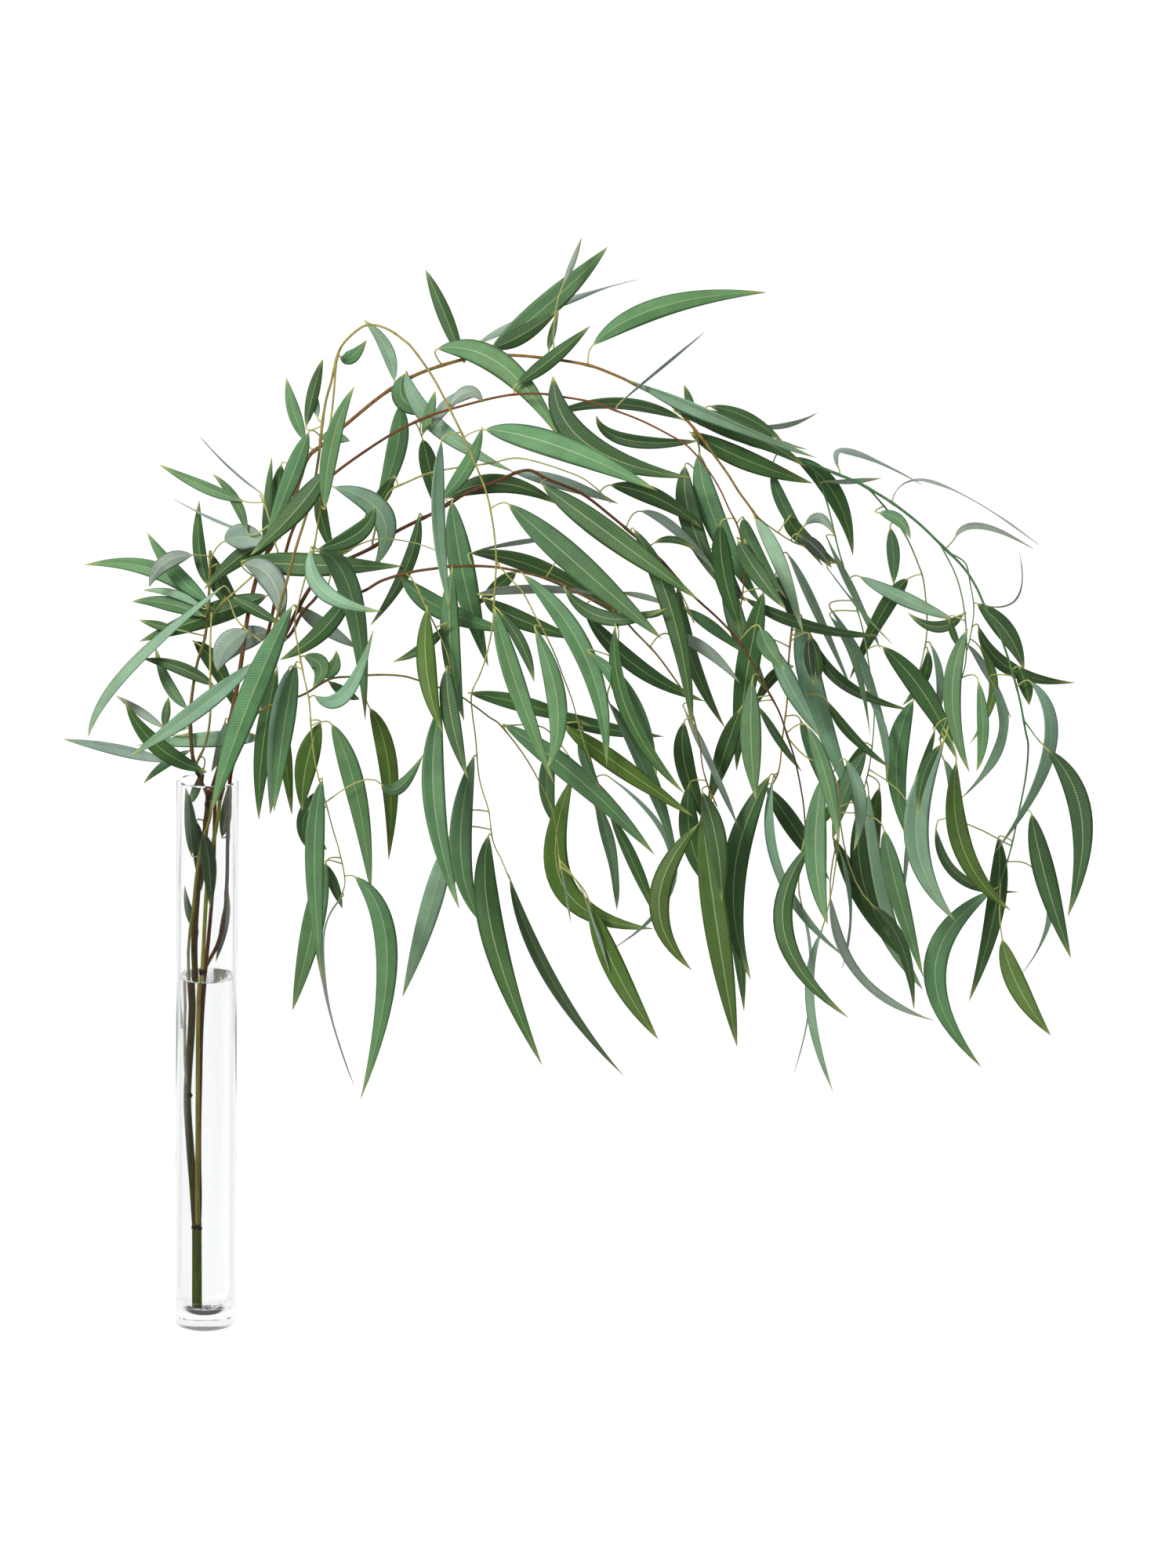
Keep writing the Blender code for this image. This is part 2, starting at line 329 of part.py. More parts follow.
# Each material's colour, roughness and metallic
MATERIALS = {
    "bark": ("5B4A2C", 0.6, 0.0),
    "dark leaf": ("24502F", 0.5, 0.0),
    "blue-green leaf": ("4F8266", 0.5, 0.0),
    "pale leaf": ("86AC90", 0.5, 0.0),
    "grey leaf": ("8D9C90", 0.6, 0.0),
    "olive leaf": ("4C6F16", 0.5, 0.0),
    "glass": ("DDE6E8", 0.03, 0.0),
    "water": ("E6EEF0", 0.02, 0.0),
}
LEAF_MATERIALS = {
    "k": "dark leaf", "b": "blue-green leaf", "p": "pale leaf", "g": "grey leaf", "o": "olive leaf"}
BRANCH_SLOTS = ["bark", *LEAF_MATERIALS.values()]


def clear_scene():
    for thing in list(bpy.data.objects):
        bpy.data.objects.remove(thing)


def make_material(name):
    colour, roughness, metallic = MATERIALS[name]
    material = bpy.data.materials.new(name)
    material.use_nodes = True
    shader = material.node_tree.nodes["Principled BSDF"]
    channels = [int(colour[i:i + 2], 16) / 255 for i in (0, 2, 4)]
    linear = [c / 12.92 if c < 0.04045 else ((c + 0.055) / 1.055) ** 2.4 for c in channels]
    shader.inputs["Base Color"].default_value = (*linear, 1.0)
    shader.inputs["Roughness"].default_value = roughness
    shader.inputs["Metallic"].default_value = metallic
    return material


def as_seen(x, z, depth):
    """The real point that is seen at x, z on the upright plane and lies this far behind it."""
    on_plane = Vector((x, 0.0, z))
    return EYE + (on_plane - EYE) * (1.0 - depth / EYE.y)


def spread(x, z):
    """How much deeper than its routes say the branch lies at x, z."""
    if abs(x) < VASE_RADIUS and z < VASE_HEIGHT:
        return 1.0
    away = (math.hypot(x, z - VASE_HEIGHT) - SPREAD_START) / (SPREAD_FULL - SPREAD_START)
    return 1.0 + (DEPTH_SPREAD - 1.0) * min(max(away, 0.0), 1.0)


def smooth_route(points):
    """Close points along a smooth curve through the given ones."""
    real = [as_seen(x, z, depth * spread(x, z)) for x, z, depth in points]
    ends = [2 * real[0] - real[1]] + real + [2 * real[-1] - real[-2]]
    fine = []
    for before, start, end, after in zip(ends, ends[1:], ends[2:], ends[3:]):
        steps = max(1, round((end - start).length / FINE_SPACING))
        for step in range(steps):
            t = step / steps
            bend = 2 * before - 5 * start + 4 * end - after
            twist = 3 * start - before - 3 * end + after
            fine.append(start + 0.5 * t * ((end - before) + t * (bend + t * twist)))
    fine.append(real[-1])
    return fine


def cut_route(route, along):
    """The route's two halves, cut this far along it."""
    walked = 0.0
    for index, (start, end) in enumerate(zip(route, route[1:])):
        step = (end - start).length
        if walked + step > along:
            cut = start.lerp(end, (along - walked) / step)
            return route[:index + 1] + [cut], [cut] + route[index + 1:]
        walked += step
    return route, []


def thin_out(stem):
    """The stem's route with few points: its ends, a collar wherever a thing grows, and some between."""
    route = stem["route"]
    thin = [route[0]]
    last = 0
    for place in sorted(stem["roots"] | {len(route) - 1}):
        gap = place - last
        parts = max(1, math.ceil(gap * FINE_SPACING / POINT_SPACING))
        thin += [route[last + round(gap * part / parts)] for part in range(1, parts)]
        if place in stem["roots"]:
            collar = (route[place + 1] - route[place - 1]).normalized() * COLLAR
            thin += [route[place] - collar, route[place] + collar]
        else:
            thin.append(route[place])
        last = place
    return thin


def radius_at(stem, place):
    start, end = stem["radii"]
    return start + (end - start) * place / (len(stem["route"]) - 1)


def tube(name, route, radius_start, radius_end):
    """A tapering round stem as a closed mesh: a bevelled curve with filled, welded caps."""
    curve = bpy.data.curves.new(name, "CURVE")
    curve.dimensions = "3D"
    curve.bevel_depth = MM
    curve.bevel_resolution = 0 if radius_start <= THIN_STEM else 1
    curve.use_fill_caps = True
    spline = curve.splines.new("POLY")
    spline.points.add(len(route) - 1)
    length = sum((b - a).length for a, b in zip(route, route[1:]))
    walked = 0.0
    for index, place in enumerate(route):
        walked += (place - route[max(index - 1, 0)]).length
        spline.points[index].co = (*(place * MM), 1.0)
        spline.points[index].radius = radius_start + (radius_end - radius_start) * walked / length
    guide = bpy.data.objects.new(name, curve)
    bpy.context.scene.collection.objects.link(guide)
    graph = bpy.context.evaluated_depsgraph_get()
    mesh = bpy.data.meshes.new_from_object(guide.evaluated_get(graph))
    bpy.data.objects.remove(guide)
    shape = bmesh.new()
    shape.from_mesh(mesh)
    bmesh.ops.remove_doubles(shape, verts=shape.verts, dist=WELD)
    bmesh.ops.recalc_face_normals(shape, faces=shape.faces)
    shape.to_mesh(mesh)
    shape.free()
    return bpy.data.objects.new(name, mesh)


def stem_record(node, route, radius_start, radius_end, carrier=None, place=0):
    return {
        "node": node, "route": route, "radii": (radius_start, radius_end), "roots": set(),
        "carrier": carrier, "place": place}


def nearest_place(grown, node, start):
    """The stem of a node, and the place on it, where a twig that starts here grows from."""
    return min(
        ((stem, place) for stem in grown if stem["node"] == node
            for place in range(ROOT_STEP, len(stem["route"]) - 2, ROOT_STEP)),
        key=lambda spot: (spot[0]["route"][spot[1]] - start).length)


def outside_of(carrier, place, route, radius):
    """The rest of a twig's route, from where the twig is clear of the stem that it grows from."""
    clear = radius_at(carrier, place) + radius + TWIG_START
    near = carrier["route"][max(place - NEAR_PLACES, 0):place + NEAR_PLACES]
    for index, point in enumerate(route):
        if min((point - other).length for other in near) > clear:
            return route[index:]


def grow_stems():
    """Every stem. A leafy stem is cut from its stub, and a twig starts at a collar of its stem."""
    grown = []
    for node, parent, radius_start, radius_end, points in STEMS:
        route = smooth_route(points)
        carrier, place = None, 0
        if parent and parent != "base_stem":
            carrier, place = nearest_place(grown, parent, route[0])
            carrier["roots"].add(place)
            route = outside_of(carrier, place, route, radius_start)
        if parent and parent != node:
            stub, rest = cut_route(route, STUB)
            rest = cut_route(rest, SEAT_GAP)[1]
            grown.append(stem_record(parent, stub, radius_start, radius_start, carrier, place))
            grown.append(stem_record(node, rest, radius_start, radius_end))
        else:
            grown.append(stem_record(node, route, radius_start, radius_end, carrier, place))
    return grown


def blade_shape(root, seen, depths, look_width, turns, extra):
    """A leaf's sections from its root to its tip: rings of three points, and the tip.

    A ring holds one edge, the midrib's keel and the other edge. The first ring is at the middle
    of the stem. A leaf that looks narrower than it can be is rolled about its length until it
    looks so.
    """
    start, middle, end = seen
    bend = (2 * middle[0] - (start[0] + end[0]) / 2, 2 * middle[1] - (start[1] + end[1]) / 2)

    def spine(t):
        a, b, c = (1 - t) ** 2, 2 * t * (1 - t), t * t
        x = a * start[0] + b * bend[0] + c * end[0]
        z = a * start[1] + b * bend[1] + c * end[1]
        return as_seen(x, z, depths[0] + (depths[1] - depths[0]) * t)

    length = (spine(0.5) - spine(0)).length + (spine(1) - spine(0.5)).length
    width = max(look_width, min(SLIM_BLADE * length, WIDEST_SLIM_BLADE))
    roll, twist = turns
    roll *= math.acos(min(1.0, look_width / width)) + LEAST_ROLL
    stalk = STALK_WIDTH + extra
    sections = [(root, spine(0) - root, stalk, stalk, roll)]
    for t, share in BLADE_STATIONS if length > SHORT_LEAF else SHORT_STATIONS:
        along = (spine(min(t + DIRECTION_STEP, 1)) - spine(max(t - DIRECTION_STEP, 0))).normalized()
        thick = BLADE_THICK + extra
        if not t:
            along += (spine(0) - root).normalized()
            thick = stalk
        sections.append((spine(t), along, max(width * share + extra, stalk), thick, roll + twist * t))
    rings = []
    for place, along, wide, thick, turn in sections:
        along = along.normalized()
        flat = along.cross(place - EYE).normalized()
        side = flat * math.cos(turn) + flat.cross(along) * math.sin(turn)
        up = side.cross(along)
        rings.append((
            place - side * wide / 2 + up * thick / 3,
            place - up * thick * 2 / 3,
            place + side * wide / 2 + up * thick / 3))
    return rings, spine(1)


def blade_faces(ring_count):
    """Triangles over the rings, split alike on both halves of the blade."""
    faces = [(0, 1, 2)]
    for ring in range(ring_count - 1):
        for corner in range(3):
            near, near_next = 3 * ring + corner, 3 * ring + (corner + 1) % 3
            far, far_next = near + 3, near_next + 3
            if corner == 0:
                faces += [(near, far, near_next), (near_next, far, far_next)]
            else:
                faces += [(near, far, far_next), (near, far_next, near_next)]
    last = 3 * (ring_count - 1)
    faces += [(last + corner, last + 3, last + (corner + 1) % 3) for corner in range(3)]
    return faces


def plan_roots(grown):
    """Where each leaf roots: on the free point of a leafy stem that is seen nearest to its stalk."""
    spots = []
    for stem in grown:
        count = len(stem["route"])
        places = range(ROOT_STEP, count - 2, ROOT_STEP) if stem["node"] != "base_stem" else ()
        for place in sorted(set(places) - stem["roots"]):
            real = stem["route"][place]
            flat = EYE + (real - EYE) * (EYE.y / (EYE.y - real.y))
            spots.append((flat.x, flat.z, stem, place))
    rooted = []
    for letter, *numbers, look_width in LEAVES:
        seen = list(zip(numbers[0::2], numbers[1::2]))
        spot = min(spots, key=lambda spot: math.hypot(spot[0] - seen[0][0], spot[1] - seen[0][1]))
        spots.remove(spot)
        stem, place = spot[2:]
        stem["roots"].add(place)
        rooted.append((stem, place, letter, seen, look_width))
    return rooted


def solid_tree(mesh_object):
    """What a finished shape fills, in millimetres: a tree for overlap tests, and its box."""
    shape = bmesh.new()
    shape.from_object(mesh_object, bpy.context.evaluated_depsgraph_get())
    bmesh.ops.scale(shape, vec=(1 / MM, 1 / MM, 1 / MM), verts=shape.verts)
    tree = BVHTree.FromBMesh(shape)
    box = bounds_of([corner.co for corner in shape.verts])
    shape.free()
    return tree, box


def grow_leaves(grown, vase):
    """Every leaf's node and shape, each bent in depth until it is clear of the rest."""
    rooted = plan_roots(grown)
    draw = random.Random(LEAF_SEED)
    taken = [("vase", *solid_tree(vase))]
    for stem in grown:
        foot = [stem["carrier"]["route"][stem["place"]]] if stem["carrier"] else []
        solid = tube("test", foot + thin_out(stem), *stem["radii"])
        bpy.context.scene.collection.objects.link(solid)
        bpy.context.view_layer.update()
        taken.append((stem, *solid_tree(solid)))
        bpy.data.objects.remove(solid)
    leaves = []
    for stem, place, letter, seen, look_width in rooted:
        root = stem["route"][place]
        out = radius_at(stem, place) + STALK_START
        way = -1.0 if letter.isupper() else 1.0
        turns = (draw.choice((-1.0, 1.0)), draw.uniform(-BLADE_TWIST, BLADE_TWIST))
        first_lean = draw.uniform(*FIRST_LEAN)
        reach = math.hypot(seen[2][0] - seen[0][0], seen[2][1] - seen[0][1])
        for attempt in range(TRIES):
            lean = way * ((first_lean + LEAN_STEP * (attempt // 2)) % MOST_LEAN)
            if attempt >= STEADY_TRIES and attempt % 2:
                lean = -lean
            near = root.y + lean * STALK_REACH + math.copysign(out, lean)
            depths = (near, near + lean * reach * (FLAT_LEAN if attempt % 2 else 1.0))
            if crosses(*blade_shape(root, seen, depths, look_width, turns, CLEAR), stem, taken):
                continue
            rings, tip = blade_shape(root, seen, depths, look_width, turns, 0.0)
            points = [p for ring in rings for p in ring] + [tip]
            tree = BVHTree.FromPolygons(points, blade_faces(len(rings)))
            taken.append(("leaf", tree, bounds_of(points)))
            leaves.append({
                "stem": stem, "place": place, "colour": letter.lower(), "rings": rings, "tip": tip})
            break
    return leaves


def bounds_of(points):
    low = [min(p[i] for p in points) for i in range(3)]
    high = [max(p[i] for p in points) for i in range(3)]
    return low, high


def crosses(rings, tip, stem, taken):
    """Whether a leaf crosses anything, or crosses its own stem with more than its stalk."""
    points = [p for ring in rings for p in ring] + [tip]
    faces = blade_faces(len(rings))
    whole = BVHTree.FromPolygons(points, faces)
    blade = BVHTree.FromPolygons(points, [face for face in faces if min(face) >= 3])
    low, high = bounds_of(points)
    for other, tree, (other_low, other_high) in taken:
        if any(low[i] > other_high[i] or high[i] < other_low[i] for i in range(3)):
            continue
        mine = blade if other is stem else whole
        if mine.overlap(tree):
            return True
    return False


def turned(name, profile, material, home, steps):
    """A turned shape from its profile, given as radius and height."""
    mesh = bpy.data.meshes.new(name)
    points = [(radius * MM, 0.0, height * MM) for radius, height in profile]
    mesh.from_pydata(points, [(i, i + 1) for i in range(len(points) - 1)], [])
    body = bpy.data.objects.new(name, mesh)
    home.objects.link(body)
    screw = body.modifiers.new("Turn", "SCREW")
    screw.steps = steps
    screw.render_steps = steps
    screw.use_merge_vertices = True
    screw.merge_threshold = WELD
    screw.use_smooth_shade = True
    mesh.materials.append(material)
    return body


def bowl(radius, floor, steps=5):
    """The rounded inner corner between floor and wall, from the floor up."""
    points = []
    for step in range(steps + 1):
        turn = math.pi / 2 * step / steps
        across = FLOOR_FLAT + (radius - FLOOR_FLAT) * math.sin(turn)
        points.append((across, floor + BOWL_RISE * (1 - math.cos(turn))))
    return points


def make_vase(material, home):
    inner = VASE_RADIUS - GLASS_WALL
    lip = GLASS_WALL / 2
    profile = [(0, GLASS_FLOOR)] + bowl(inner, GLASS_FLOOR)
    for step in range(5):
        turn = math.pi * step / 4
        profile.append((inner + lip - lip * math.cos(turn), VASE_HEIGHT - lip + lip * math.sin(turn)))
    for step in range(4):
        turn = math.pi / 2 * step / 3
        across = VASE_RADIUS - FOOT_ROUNDING * (1 - math.cos(turn))
        profile.append((across, FOOT_ROUNDING * (1 - math.sin(turn))))
    profile.append((0, 0))
    return turned("vase", profile, material, home, VASE_STEPS)


def make_water(material, home, cutters, grown):
    radius = VASE_RADIUS - GLASS_WALL - WATER_GAP
    profile = [(0, GLASS_FLOOR + WATER_GAP)]
    profile += bowl(radius, GLASS_FLOOR + WATER_GAP)
    profile = [(0, WATER_TOP), (radius, WATER_TOP)] + profile[::-1]
    water = turned("water", profile, material, home, VASE_STEPS)
    for stem in grown:
        route = thin_out(stem)
        if route[0].z > WATER_TOP:
            continue
        before = (route[0] - route[1]).normalized() * STEM_HOLE_PAST
        past = (route[-1] - route[-2]).normalized() * STEM_HOLE_GAP
        longer = [route[0] + before] + route + [route[-1] + past]
        cutter = tube("stem_hole", longer, *(radius + STEM_HOLE_GAP for radius in stem["radii"]))
        cutters.objects.link(cutter)
        cutter.hide_render = True
        cutter.display_type = "WIRE"
        cut = water.modifiers.new("Stem hole", "BOOLEAN")
        cut.operation = "DIFFERENCE"
        cut.object = cutter
    return water


def join_base(stems, material, home):
    """The base stem: one solid of the leaders and the stubs, joined where they cross."""
    parts = bpy.data.collections.new("base stem pieces")
    bpy.context.scene.collection.children.link(parts)
    pieces = [tube("base_stem", thin_out(stem), *stem["radii"]) for stem in stems]
    body = pieces[0]
    home.objects.link(body)
    for piece in pieces[1:]:
        parts.objects.link(piece)
    join = body.modifiers.new("Join", "BOOLEAN")
    join.operation = "UNION"
    join.operand_type = "COLLECTION"
    join.collection = parts
    join.solver = "MANIFOLD"
    graph = bpy.context.evaluated_depsgraph_get()
    joined = bpy.data.meshes.new_from_object(body.evaluated_get(graph))
    body.modifiers.clear()
    body.data = joined
    body.data.materials.append(material)
    for piece in list(parts.objects):
        bpy.data.objects.remove(piece)
    bpy.data.collections.remove(parts)


def open_collar(shape, stem, place, towards):
    """Takes away the collar's face that looks towards a point, and returns its edges."""
    route = stem["route"]
    middle = route[place] * MM
    along = (route[place + 1] - route[place - 1]).normalized()
    reach = COLLAR_REACH * radius_at(stem, place) * MM
    best = None
    for face in shape.faces:
        centre = face.calc_center_median() - middle
        if centre.length > reach or abs(centre.dot(along)) > COLLAR * MM / 2 or len(face.verts) != 4:
            continue
        facing = centre.normalized().dot((towards * MM - middle).normalized())
        if best is None or facing > best[0]:
            best = (facing, face)
    edges = list(best[1].edges)
    bmesh.ops.delete(shape, geom=[best[1]], context="FACES_ONLY")
    return edges


def add_stem(shape, stem):
    """Adds a stem's tube. A twig's tube is open at its start and bridged to its stem's collar."""
    mesh = tube("stem", thin_out(stem), *stem["radii"])
    known = set(shape.faces)
    shape.from_mesh(mesh.data)
    bpy.data.meshes.remove(mesh.data)
    if stem["carrier"] is None:
        return
    start = stem["route"][0] * MM
    new = [face for face in shape.faces if face not in known]
    cap = min(new, key=lambda face: (face.calc_center_median() - start).length)
    rim = list(cap.edges)
    bmesh.ops.delete(shape, geom=[cap], context="FACES_ONLY")
    collar = open_collar(shape, stem["carrier"], stem["place"], stem["route"][0])
    bmesh.ops.bridge_loops(shape, edges=collar + rim)


def add_leaf(shape, leaf):
    """Adds a leaf: its blade is lofted, and its stalk is bridged to its stem's collar."""
    rings = leaf["rings"][1:]
    points = [point for ring in rings for point in ring] + [leaf["tip"]]
    corners = [shape.verts.new(point * MM) for point in points]
    slot = BRANCH_SLOTS.index(LEAF_MATERIALS[leaf["colour"]])
    for face in blade_faces(len(rings))[1:]:
        shape.faces.new([corners[corner] for corner in face]).material_index = slot
    rim = [shape.edges.get((corners[a], corners[b])) for a, b in ((0, 1), (1, 2), (2, 0))]
    towards = (rings[0][0] + rings[0][2]) / 2
    collar = open_collar(shape, leaf["stem"], leaf["place"], towards)
    bmesh.ops.bridge_loops(shape, edges=collar + rim)


def grow_leafy_stem(name, stems, leaves, slots, home):
    """One solid: a leafy stem with its twigs and leaves, each grown out of the stem's surface."""
    shape = bmesh.new()
    for stem in stems:
        add_stem(shape, stem)
    for leaf in leaves:
        add_leaf(shape, leaf)
    bmesh.ops.triangulate(shape, faces=shape.faces)
    bmesh.ops.recalc_face_normals(shape, faces=shape.faces)
    mesh = bpy.data.meshes.new(name)
    shape.to_mesh(mesh)
    shape.free()
    for material in slots:
        mesh.materials.append(material)
    home.objects.link(bpy.data.objects.new(name, mesh))


def main():
    clear_scene()
    home = bpy.data.collections.new("eucalyptus_branch")
    cutters = bpy.data.collections.new("cutters")
    bpy.context.scene.collection.children.link(home)
    bpy.context.scene.collection.children.link(cutters)
    materials = {name: make_material(name) for name in MATERIALS}
    slots = [materials[name] for name in BRANCH_SLOTS]
    grown = grow_stems()
    vase = make_vase(materials["glass"], home)
    leaves = grow_leaves(grown, vase)
    make_water(materials["water"], home, cutters, grown)
    for name in dict.fromkeys(stem["node"] for stem in grown):
        own_stems = [stem for stem in grown if stem["node"] == name]
        own_leaves = [leaf for leaf in leaves if leaf["stem"]["node"] == name]
        if name == "base_stem":
            join_base(own_stems, materials["bark"], home)
        else:
            grow_leafy_stem(name, own_stems, own_leaves, slots, home)


main()
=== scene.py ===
"""A eucalyptus branch in a tall, slim glass vase: how it looks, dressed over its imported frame."""

import math
import random

import bpy
from mathutils import Euler, Matrix, Vector
from mathutils.kdtree import KDTree


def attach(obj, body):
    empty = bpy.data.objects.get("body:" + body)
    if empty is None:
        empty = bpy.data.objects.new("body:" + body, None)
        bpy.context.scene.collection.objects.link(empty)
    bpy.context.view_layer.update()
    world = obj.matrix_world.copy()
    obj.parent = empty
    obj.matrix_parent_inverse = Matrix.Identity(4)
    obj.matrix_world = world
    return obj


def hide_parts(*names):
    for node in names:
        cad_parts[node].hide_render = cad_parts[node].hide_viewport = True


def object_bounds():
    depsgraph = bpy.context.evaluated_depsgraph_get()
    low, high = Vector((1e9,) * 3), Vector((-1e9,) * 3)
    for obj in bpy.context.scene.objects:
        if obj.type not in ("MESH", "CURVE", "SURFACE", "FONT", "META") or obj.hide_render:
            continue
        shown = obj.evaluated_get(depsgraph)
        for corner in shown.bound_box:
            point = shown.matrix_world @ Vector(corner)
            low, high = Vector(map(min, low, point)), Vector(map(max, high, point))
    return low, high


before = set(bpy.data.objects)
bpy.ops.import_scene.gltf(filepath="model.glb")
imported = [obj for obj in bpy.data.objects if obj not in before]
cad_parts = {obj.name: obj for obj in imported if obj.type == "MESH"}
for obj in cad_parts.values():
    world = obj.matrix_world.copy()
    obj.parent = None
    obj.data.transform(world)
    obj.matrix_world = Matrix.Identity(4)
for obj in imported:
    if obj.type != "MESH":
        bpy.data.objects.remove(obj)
cad_box = [list(corner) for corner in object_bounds()]
bpy.ops.object.select_all(action="DESELECT")

# The vase
# A plain drawn cylinder of clear soda-lime glass, with a thick base whose inside is rounded like
# a bowl. Its rim was melted smooth in a flame, and its foot is ground flat.

MM = 0.001
VASE_HEIGHT = 500.0
VASE_RADIUS = 27.0
GLASS_WALL = 3.0
GLASS_FLOOR = 13.0
FLOOR_FLAT = 12.0
BOWL_RISE = 25.0
FOOT_ROUNDING = 2.5
FOOT_STEPS = 6
LIP_STEPS = 10
BOWL_STEPS = 12
VASE_SIDES = 128
SMOOTH_BELOW = math.radians(40)  # where two faces meet at more than this, the edge stays sharp


def linear(colour):
    """An sRGB hex colour as linear red, green, blue and full alpha."""
    parts = [int(colour[i:i + 2], 16) / 255 for i in (0, 2, 4)]
    return (*(c / 12.92 if c < 0.04045 else ((c + 0.055) / 1.055) ** 2.4 for c in parts), 1.0)


def new_material(name, **settings):
    """A material with its shader set: sockets are named with underscores for spaces."""
    material = bpy.data.materials.new(name)
    material.use_nodes = True
    shader = material.node_tree.nodes["Principled BSDF"]
    for socket, value in settings.items():
        shader.inputs[socket.replace("_", " ")].default_value = value
    return material, shader


def add_node(material, kind, settings=None, links=None):
    """Adds a node, gives its sockets and properties their settings, and links sockets into it."""
    node = material.node_tree.nodes.new(kind)
    for name, value in (settings or {}).items():
        if isinstance(name, int) or name in node.inputs:
            node.inputs[name].default_value = value
        else:
            setattr(node, name, value)
    for socket, source in (links or {}).items():
        material.node_tree.links.new(source, node.inputs[socket])
    return node


def bowl(radius, floor):
    """The rounded inner corner between floor and wall, from the floor up, as radius and height."""
    points = []
    for step in range(BOWL_STEPS + 1):
        turn = math.pi / 2 * step / BOWL_STEPS
        across = FLOOR_FLAT + (radius - FLOOR_FLAT) * math.sin(turn)
        points.append((across, floor + BOWL_RISE * (1 - math.cos(turn))))
    return points


def turned_piece(name, profile, sides):
    """A turned solid: a ring is drawn out along the profile, and its two ends are capped."""
    radius, height = profile[0]
    bpy.ops.mesh.primitive_circle_add(vertices=sides, radius=radius * MM, location=(0, 0, height * MM))
    piece = bpy.context.object
    piece.name = name
    bpy.ops.object.transform_apply(location=True, rotation=True, scale=True)
    bpy.ops.object.mode_set(mode="EDIT")
    bpy.ops.mesh.select_all(action="SELECT")
    for (radius, height), (next_radius, next_height) in zip(profile, profile[1:]):
        bpy.ops.mesh.extrude_edges_move(
            TRANSFORM_OT_translate={"value": (0, 0, (next_height - height) * MM)})
        share = next_radius / radius
        bpy.ops.transform.resize(value=(share, share, 1), center_override=(0, 0, next_height * MM))
    bpy.ops.mesh.edge_face_add()
    bpy.ops.mesh.select_all(action="DESELECT")
    bpy.ops.mesh.select_non_manifold()
    bpy.ops.mesh.edge_face_add()
    bpy.ops.mesh.select_all(action="SELECT")
    bpy.ops.mesh.normals_make_consistent(inside=False)
    bpy.ops.object.mode_set(mode="OBJECT")
    bpy.ops.object.shade_smooth_by_angle(angle=SMOOTH_BELOW)
    return piece


inner_radius = VASE_RADIUS - GLASS_WALL
lip = GLASS_WALL / 2
vase_profile = []
for step in range(FOOT_STEPS + 1):
    turn = math.pi / 2 * step / FOOT_STEPS
    vase_profile.append((
        VASE_RADIUS - FOOT_ROUNDING * (1 - math.sin(turn)), FOOT_ROUNDING * (1 - math.cos(turn))))
for step in range(LIP_STEPS + 1):
    turn = math.pi * step / LIP_STEPS
    vase_profile.append((
        inner_radius + lip + lip * math.cos(turn), VASE_HEIGHT - lip + lip * math.sin(turn)))
vase_profile += bowl(inner_radius, GLASS_FLOOR)[::-1]
vase = turned_piece("clear_vase", vase_profile, VASE_SIDES)

# Soda-lime glass, flame-finished: colourless to the eye, with a grey-green cast in the thick base.
glass, _ = new_material(
    "soda-lime glass", Base_Color=linear("FDFEFE"), Roughness=0.0, IOR=1.52, Transmission_Weight=1.0)
vase.data.materials.append(glass)
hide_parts("vase")
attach(vase, "root")

# The water
# Tap water to two thirds of the vase. It stands right up to the glass, and its surface creeps up
# the wall in a thin rim.

WATER_TOP = 322.0
GAP = 0.03  # between the water's skin and the glass's, so that the two don't lie in one another
MENISCUS = 1.6

water_profile = bowl(inner_radius - GAP, GLASS_FLOOR + GAP)
water_profile += [
    (inner_radius - GAP, WATER_TOP + MENISCUS), (inner_radius - 0.5, WATER_TOP + 0.5 * MENISCUS),
    (inner_radius - 1.3, WATER_TOP + 0.15 * MENISCUS), (inner_radius - 3, WATER_TOP)]
water = turned_piece("still_water", water_profile, VASE_SIDES)

# Water: clear and level, a little less bending to light than the glass.
clear_water, _ = new_material(
    "tap water", Base_Color=linear("FFFFFF"), Roughness=0.0, IOR=1.333, Transmission_Weight=1.0)
water.data.materials.append(clear_water)
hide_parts("water")
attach(water, "root")

# The base stem
# One cut piece of eucalyptus wood that stands on its cut end and forks low down. Each fork grew
# from the last, and its bark turns from dark green on the old wood to red-brown on the young.

EYE = Vector((332.0, -3320.0, 1241.0))  # where the front view is seen from
DEPTH_SPREAD = 1.9
SPREAD_START = 40.0
SPREAD_FULL = 260.0
STUB = 11.0
SEAT_GAP = 0.9
FINE_SPACING = 2.5
ROOT_STEP = 2
TWIG_START = 0.6
STALK_START = 1.3
NEAR_PLACES = 20
WIDENED = 0.78  # how much finer a stem is drawn under water, which widens what it shows
WIDENING_STEP = 25.0
KNEE_SWELL = 0.22
KNEE_LENGTH = 1.3
COLLAR_SWELL = 1.5
TIP_TAPER = 0.55
TINT_BEND = 0.7
BASE_SIDES = 20
BASE_TINTS = [
    ("5E7414", "626E10"), ("5C620E", "5E3C12"), ("A89E36", "AEA240"), ("A89E3A", "86902A"),
    ("6A4420", "4A2016"), ("62460E", "70381A"), ("A69A54", "908C40")]
STUB_TINTS = ("5E3A24", "6A4A2A")
SCAR_TINT = "2E120C"
SCAR_STEPS = 7
SCAR_SIDES = 12
SCAR_LENGTH = 1.3
SCAR_ROUGHNESS = (0.85, 1.1)
SCAR_SEED = 9

# Scars where a shoot was cut away or broke off: where one is seen, how far behind, and its radius
SCARS = [
    (-8, 91, -7, 4.9), (-15, 214, -2, 3.4), (-5, 326, -12, 2.9), (0.5, 476, -1, 3.0),
    (1.5, 484, -1, 3.6)]

